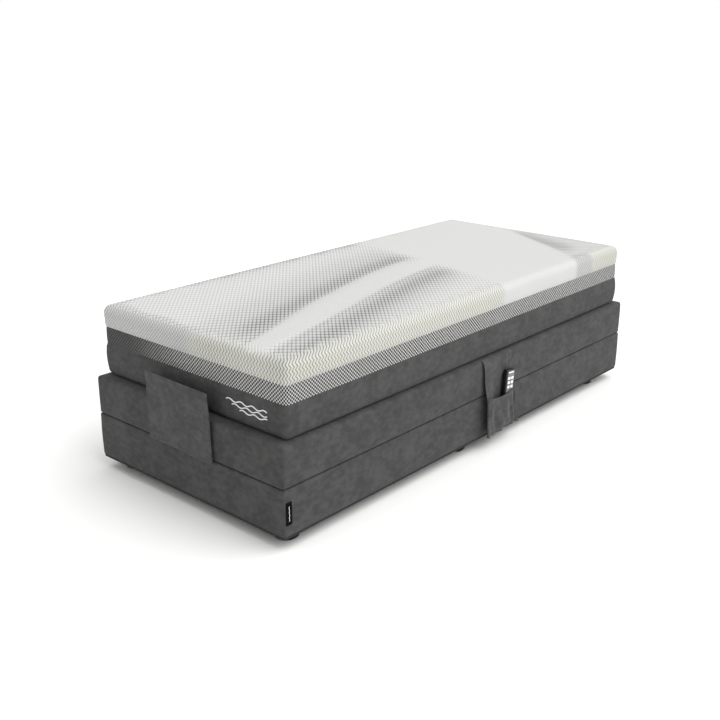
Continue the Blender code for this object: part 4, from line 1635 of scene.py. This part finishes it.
@dataclass
class FootFlap:
    """The padded flap that keeps the mattress from sliding off the foot end."""

    bed: BedFrame
    finishes: Finishes
    thickness: float = 0.009
    bow: float = 0.010

    def build(self) -> None:
        """Make the flap: a stiff upright panel that stands a little off the skirt.

        Its middle surface is y = y0 - bow v^1.5 (0.45 + 0.55 u^2), with u from 0 to 1 across and v
        from 0 to 1 up, so it leans out towards its top, and most at the +X edge.
        """
        low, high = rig.box("mattress_flap")
        rows, columns = 61, 81
        u = np.linspace(0.0, 1.0, columns)[None, :]
        v = np.linspace(0.0, 1.0, rows)[:, None]
        x = low.x - self.bed.centre_x + (high.x - low.x) * u + 0.0 * v
        z = low.z + 0.008 * (1.0 - u) * (1.0 - v) + (high.z + 0.002 - low.z) * v
        foot = low.y - self.bed.centre_y + self.thickness / 2 + 0.001
        y = foot - self.bow * v**1.5 * (0.45 + 0.55 * u**2)
        y = y + 0.0006 * np.sin(21.0 * x + 9.0 * z) + 0.0005 * np.sin(47.0 * z - 13.0 * x)
        edge = np.minimum(np.minimum(u, 1.0 - u) * 0.345, np.minimum(v, 1.0 - v) * 0.237)
        hem = 1.0 - 0.40 * hill(0.014, 0.0024, edge)
        puff = np.sqrt(np.clip(edge / 0.006, 0.0, 1.0)) * 0.75 + 0.25
        grid = np.stack((x, y, z), axis=-1)
        piece = cloth_sheet("retainer_flap", self.bed, grid, self.thickness * puff * hem + 0.0006)
        piece.data.materials.append(self.finishes.pocket)
        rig.replaces(piece, "mattress_flap")
        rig.slot(piece, "flap_and_pocket")
        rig.ride(piece, "leg")
        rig.padded(piece, fill=0.4)
        LOG.info("flap: %s", piece.name)


@dataclass
class RemotePocket:
    """The cloth pocket that hangs from under the mattress on the +X side, with its pouch."""

    bed: BedFrame
    finishes: Finishes
    cloth: float = 0.0022

    def places(self) -> tuple[float, float, float, float]:
        """The pocket's y range and z range in the bed's own frame."""
        low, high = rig.box("pocket_back")
        return low.y - self.bed.centre_y, high.y - self.bed.centre_y, low.z, high.z

    def hang(self, u: Array, z: Array) -> tuple[Array, Array]:
        """Where the hanging cloth is, at a share u across and a height z.

        Its -Y edge swings out from the side as it goes down, its +Y edge half as far, and the
        middle lies close.

        Args:
            u: Share of the way across, from -Y to +Y.
            z: Height.

        Returns:
            How far its middle surface stands off the box's side, and its y.
        """
        y_low, y_high, z_low, z_high = self.places()
        drop = np.clip((z_high - z) / (z_high - z_low), 0.0, 1.0)
        near = 0.007 * smooth(0.0, 0.10, drop) + 0.018 * smooth(0.20, 0.62, drop)
        near = (1.0 - smooth(0.0, 0.45, u)) * near
        far = smooth(0.86, 1.0, u) * 0.014 * smooth(0.10, 0.70, drop)
        crease = hill(0.80 - 0.06 * drop, 0.035, u) - 0.6 * hill(0.62 + 0.05 * drop, 0.05, u)
        fold = 0.0024 * crease * smooth(0.0, 0.12, drop) * (1.0 - smooth(0.35, 0.60, drop))
        low_swing = 0.004 * smooth(0.75, 1.0, drop)
        left = y_low - 0.020 + 0.006 * smooth(0.0, 0.2, drop)
        right = y_high - 0.025 + 0.043 * drop**1.5
        return 0.0032 + near + far + fold + low_swing, left + (right - left) * u

    def back(self) -> bpy.types.Object:
        """The hanging cloth: rolled over the layer's top edge, then down to just under the box.

        The first rows follow a quarter circle from under the mattress to the side.
        """
        _, _, z_low, _ = self.places()
        half = self.bed.half_width
        turn = np.radians(np.linspace(78.0, 0.0, 9))[:-1, None]
        centre_z = self.bed.platform_top - 0.0125
        z = np.linspace(centre_z, z_low + 0.001, 56)[:, None]
        u = np.linspace(0.0, 1.0, 44)[None, :]
        off, y = self.hang(u, z)
        top_off, top_y = self.hang(u, np.full((1, 1), centre_z))
        reach = top_off + 0.0110
        roll_x = half - 0.0110 + reach * np.cos(turn)
        roll_z = centre_z + (0.0125 + 0.0015) * np.sin(turn) + 0.0 * u
        x = np.vstack((roll_x, half + off))
        y = np.vstack((np.repeat(top_y, len(turn), axis=0), y))
        z = np.vstack((roll_z, z + 0.0 * u))
        piece = cloth_sheet("pocket_cloth", self.bed, np.stack((x, y, z), axis=-1), self.cloth)
        piece.data.materials.append(self.finishes.pocket)
        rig.replaces(piece, "pocket_back")
        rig.slot(piece, "flap_and_pocket")
        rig.sheet(piece, flat=(0.19, 0.32), held="hung", rests_on=["layer_middle"])
        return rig.ride(piece, "base")

    def pouch(self) -> bpy.types.Object:
        """The pouch: cloth that stands out round the remote and is sewn down at both sides.

        Across it the depth off the hanging cloth is D (1 - |2u - 1|^11), less at the sewn bottom,
        with soft upright folds.
        """
        _, _, z_low, _ = self.places()
        _, pouch_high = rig.box("pocket_pouch")
        front = pouch_high.x - self.bed.centre_x - self.bed.half_width
        v = np.linspace(0.0, 1.0, 56)[:, None]
        u = np.linspace(0.0, 1.0, 84)[None, :]
        lip = pouch_high.z - 0.002 - 0.012 * np.sin(math.pi * u * 0.9) ** 1.5 + 0.006 * u
        z = lip + (z_low - lip) * v
        spread = 0.70 * u + 0.30 * (0.5 + 0.5 * np.sin(math.pi * (u - 0.5)))
        across = 0.004 + 0.885 * spread
        off, y = self.hang(across, z)
        open_depth = np.maximum(front - 0.0020 - off - self.cloth, 0.003)
        sewn = 1.0 - 0.60 * smooth(0.80, 1.0, v)
        depth = open_depth * (1.0 - np.abs(2.0 * u - 1.0) ** 11) * sewn
        folds = 0.0042 * np.sin(2.0 * math.pi * (1.9 * u + 0.30 * v) + 0.4)
        folds += 0.0022 * np.sin(2.0 * math.pi * (4.1 * u - 0.8 * v))
        folds *= smooth(0.10, 0.45, v) * (1.0 - np.abs(2.0 * u - 1.0) ** 4)
        hem = 1.0 + 0.8 * hill(0.0, 0.05, v)
        x = self.bed.half_width + off + self.cloth + 0.0004 + depth + folds
        grid = np.stack((x, y, z + 0.0 * x), axis=-1)
        piece = cloth_sheet("pocket_pouch_cloth", self.bed, grid, self.cloth * hem + 0.0 * x)
        piece.data.materials.append(self.finishes.pocket)
        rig.replaces(piece, "pocket_pouch")
        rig.slot(piece, "flap_and_pocket")
        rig.sheet(piece, flat=(0.23, 0.155), held="gathered", rests_on=["pocket_cloth"])
        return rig.ride(piece, "base")

    def build(self) -> None:
        """Make the hanging cloth and the pouch."""
        LOG.info("pocket: %s", self.back().name)
        LOG.info("pouch: %s", self.pouch().name)


@dataclass
class Remote:
    """The remote's faceplate and lamp strip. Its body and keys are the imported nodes."""

    bed: BedFrame
    finishes: Finishes
    frame_joints: list[dict]
    proud: float = 0.0006

    def axes(self) -> tuple[Array, Array, Array]:
        """The remote's own directions: up along its slide, across it, and out along +X."""
        joint = next(j for j in self.frame_joints if j["name"] == "handset_lift")
        up = np.array(joint["axis"], float)
        up /= np.linalg.norm(up)
        out = np.array((1.0, 0.0, 0.0))
        return up, np.cross(up, out), out

    def build(self) -> None:
        """Make the faceplate round the keys, and the lamp strip over them."""
        up, across, out = self.axes()
        places = vertex_places(bpy.data.objects["handset_body"])
        heights, widths = places @ up, places @ across
        top, middle = heights.max(), (widths.max() + widths.min()) / 2
        half = (widths.max() - widths.min()) / 2
        face = places[:, 0].max()
        self.plate(
            "remote_faceplate",
            (up, across, out),
            (middle, half - 0.0045),
            (top - 0.118, top - 0.0045),
            face,
            self.finishes.faceplate,
        )
        self.plate(
            "remote_lamp",
            (up, across, out),
            (middle, half - 0.0095),
            (top - 0.0130, top - 0.0085),
            face + self.proud,
            self.finishes.lamp,
        )

    def plate(
        self,
        name: str,
        axes: tuple[Array, Array, Array],
        width: tuple[float, float],
        span: tuple[float, float],
        face: float,
        material: bpy.types.Material,
    ) -> None:
        """A thin rounded plate on the remote's face.

        Args:
            name: The piece's name.
            axes: Up, across and outward directions.
            width: Middle and half width across.
            span: Lowest and highest place along the remote.
            face: X of the surface that it lies on.
            material: Its finish.
        """
        up, across, out = axes
        half_height = (span[1] - span[0]) / 2
        corner = min(0.005, half_height * 0.9)
        rings = []
        chamfer = self.proud * 0.6
        for inset, lift in ((0.0, 0.00005), (0.0, chamfer), (chamfer, self.proud)):
            flat = rounded_outline(width[1] - inset, half_height - inset, corner, (6, 12))
            ring = (
                (width[0] + flat[:, :1]) * across
                + ((span[0] + span[1]) / 2 + flat[:, 1:]) * up
                + (face + lift) * out
            )
            rings.append(ring)
        grid = np.stack(rings)
        index = np.arange(grid.shape[0] * grid.shape[1]).reshape(grid.shape[:2])
        faces = quads(index, wrap_columns=True)
        faces.extend((index[0].tolist(), index[-1][::-1].tolist()))
        piece = make_piece(name, grid.reshape(-1, 3), faces)
        piece.data.materials.append(material)
        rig.slot(piece, "handset")
        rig.ride(piece, "handset")
        LOG.info("remote: %s", name)


@dataclass
class Mechanism:
    """The steel frame, the motors and the remote's body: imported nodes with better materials."""

    finishes: Finishes

    def build(self) -> None:
        """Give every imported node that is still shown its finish."""
        finishes = self.finishes
        plates = ("side_frame", "back_arm", "thigh_arm", "leg_arm", "back_lever", "thigh_lever")
        rods = ("back_hinge_rod", "thigh_hinge_rod", "knee_rod", "back_motor_rod", "leg_motor_rod")
        rules = (
            (plates, finishes.steel),
            (("back_motor_crossbar", "leg_motor_crossbar"), finishes.steel),
            (rods, finishes.zinc),
            (("back_motor_housing", "leg_motor_housing", "control_box"), finishes.motor),
            (("bottom_board",), finishes.lining),
            (("handset_body",), finishes.handset),
            (("button_",), finishes.keys),
        )
        for starts, material in rules:
            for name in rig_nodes(*starts):
                node = bpy.data.objects[name]
                node.data.materials.clear()
                node.data.materials.append(material)
                LOG.info("packed node: %s", name)


# Studio ------------------------------------------------------------------------------------------


@dataclass
class Studio:
    """A flat white floor, a far white wall, soft light from the right, and the camera."""

    bed: BedFrame
    camera_place: tuple[float, float, float] = (2.4045, -2.8780, 1.5646)
    camera_yaw: float = 41.58
    camera_pitch: float = 19.42
    lens: float = 49.91
    bright_side: tuple[float, float, float] = (0.80, 0.25, 0.55)
    sky: tuple[float, float] = (0.02, 1.34)
    horizon: float = 0.35

    def camera(self) -> None:
        """A level camera that looks down on the foot end's +X corner."""
        data = bpy.data.cameras.new("camera")
        data.lens = self.lens
        data.sensor_width = 36.0
        camera = bpy.data.objects.new("camera", data)
        camera.location = self.bed.place(np.array(self.camera_place))
        tilt, yaw = math.radians(90.0 - self.camera_pitch), math.radians(self.camera_yaw)
        camera.rotation_euler = (tilt, 0.0, yaw)
        bpy.context.scene.collection.objects.link(camera)
        bpy.context.scene.camera = camera

    def floor(self) -> None:
        """A large plain white floor."""
        mesh = bpy.data.meshes.new("studio_floor")
        far = 900.0
        corners = [(-far, -far, 0), (far, -far, 0), (far, far, 0), (-far, far, 0)]
        mesh.from_pydata(corners, [], [(0, 1, 2, 3)])
        floor = bpy.data.objects.new("studio_floor", mesh)
        bpy.context.scene.collection.objects.link(floor)
        n = Nodes(bpy.data.materials.new("studio_white"))
        white = linear("#F7F7F5")
        n.connect(n.shader, {"Base Color": white, "Roughness": 0.9, "Specular IOR Level": 0.0})
        mesh.materials.append(n.owner)
        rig.stage(floor)

    def wall(self, radius: float = 600.0, height: float = 105.0, sides: int = 96) -> None:
        """A far white wall all round, which hides the edge of the floor.

        Args:
            radius: Its distance.
            height: Its height.
            sides: Its flat faces.
        """
        angle = np.linspace(0.0, 2.0 * math.pi, sides, endpoint=False)
        ring = np.stack((radius * np.cos(angle), radius * np.sin(angle), np.zeros(sides)), axis=1)
        points = np.vstack((ring, ring + np.array((0.0, 0.0, height))))
        index = np.arange(2 * sides).reshape(2, sides)
        mesh = bpy.data.meshes.new("studio_wall")
        mesh.from_pydata(points.tolist(), [], quads(index, wrap_columns=True))
        wall = bpy.data.objects.new("studio_wall", mesh)
        bpy.context.scene.collection.objects.link(wall)
        n = Nodes(bpy.data.materials.new("studio_wall_white"))
        sockets = {
            "Base Color": (0.0, 0.0, 0.0, 1.0),
            "Specular IOR Level": 0.0,
            "Emission Color": (1.0, 1.0, 1.0, 1.0),
            "Emission Strength": 1.0,
        }
        n.connect(n.shader, sockets)
        mesh.materials.append(n.owner)
        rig.stage(wall)

    def sun(
        self, name: str, azimuth: float, elevation: float, spread: float, strength: float
    ) -> None:
        """A very wide, soft, distant light.

        Args:
            name: Its name.
            azimuth: Degrees from +X towards +Y of the side that it shines from.
            elevation: Degrees over the floor.
            spread: Degrees that it fills in the sky.
            strength: Its irradiance.
        """
        data = bpy.data.lights.new(name, "SUN")
        data.energy = strength
        data.angle = math.radians(spread)
        lamp = bpy.data.objects.new(name, data)
        level = math.cos(math.radians(elevation))
        source = Vector(
            (
                level * math.cos(math.radians(azimuth)),
                level * math.sin(math.radians(azimuth)),
                math.sin(math.radians(elevation)),
            )
        )
        lamp.rotation_euler = (-source).to_track_quat("-Z", "Y").to_euler()
        lamp.location = source * 4.0
        bpy.context.scene.collection.objects.link(lamp)

    def build(self) -> None:
        """Make the studio."""
        self.camera()
        self.floor()
        self.wall()
        self.sun("key", 28.0, 52.0, 60.0, 1.30)
        self.sun("top", 80.0, 74.0, 90.0, 0.42)
        self.sun("fill", -155.0, 20.0, 12.0, 0.22)
        world = bpy.data.worlds.new("studio_world")
        n = Nodes(world, "Background")
        place = n.add("TexCoord", output="Generated")
        side = n.add(
            "VectorMath", {0: place, 1: self.bright_side}, "Value", operation="DOT_PRODUCT"
        )
        low, high = self.sky
        sky = n.add("MapRange", {"Value": side, "From Min": -1.0, "To Min": low, "To Max": high})
        rise = n.add(
            "MapRange",
            {
                "Value": n.add("SeparateXYZ", {0: place}, "Z"),
                "From Max": 0.55,
                "To Min": self.horizon,
            },
            interpolation_type="SMOOTHSTEP",
        )
        n.connect(n.shader, {"Color": (1.0, 1.0, 1.0, 1.0), "Strength": sky * rise})
        bpy.context.scene.world = world
        bpy.context.scene.view_settings.view_transform = "Standard"


def main() -> None:
    """Load the frame, build every part and write the sizes."""
    logging.basicConfig(level=logging.INFO, format="%(message)s")
    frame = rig.load()
    cad_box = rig.bounds()
    bed = BedFrame.read()
    Studio(bed).build()
    finishes = Finishes()
    layer_folds = {
        "layer_back": Fold("base", "back", 0.21, 0.31),
        "layer_middle": Fold("base", "thigh", 0.03, -0.07),
        "layer_leg": Fold("thigh", "leg", -0.315, -0.445),
    }
    mattress_folds = {
        "mattress_head_part": Fold("base", "back", 0.05, 0.55),
        "mattress_middle_part": Fold("base", "thigh", 0.05, -0.20),
        "mattress_foot_part": Fold("thigh", "leg", -0.24, -0.52),
    }
    hinges = tuple(
        j["pos_m"][1] - bed.centre_y
        for j in frame["joints"]
        if j["name"] in ("back_lift", "thigh_lift", "knee_fold")
    )
    UpholsteredBox(bed, finishes).build()
    FoldingLayer(bed, finishes, 0.12, -0.205, layer_folds, hinges).build()
    Mattress(bed, finishes, 0.05, -0.22, mattress_folds).build()
    FootFlap(bed, finishes).build()
    RemotePocket(bed, finishes).build()
    Remote(bed, finishes, frame_joints=frame["joints"]).build()
    Mechanism(finishes).build()
    sizes = {
        "cad": [list(map(float, corner)) for corner in cad_box],
        "visual": [list(map(float, corner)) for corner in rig.bounds()],
    }
    with open(SIZE_FILE, "w", encoding="utf-8") as out:
        json.dump(sizes, out)


if __name__ == "__main__":
    main()
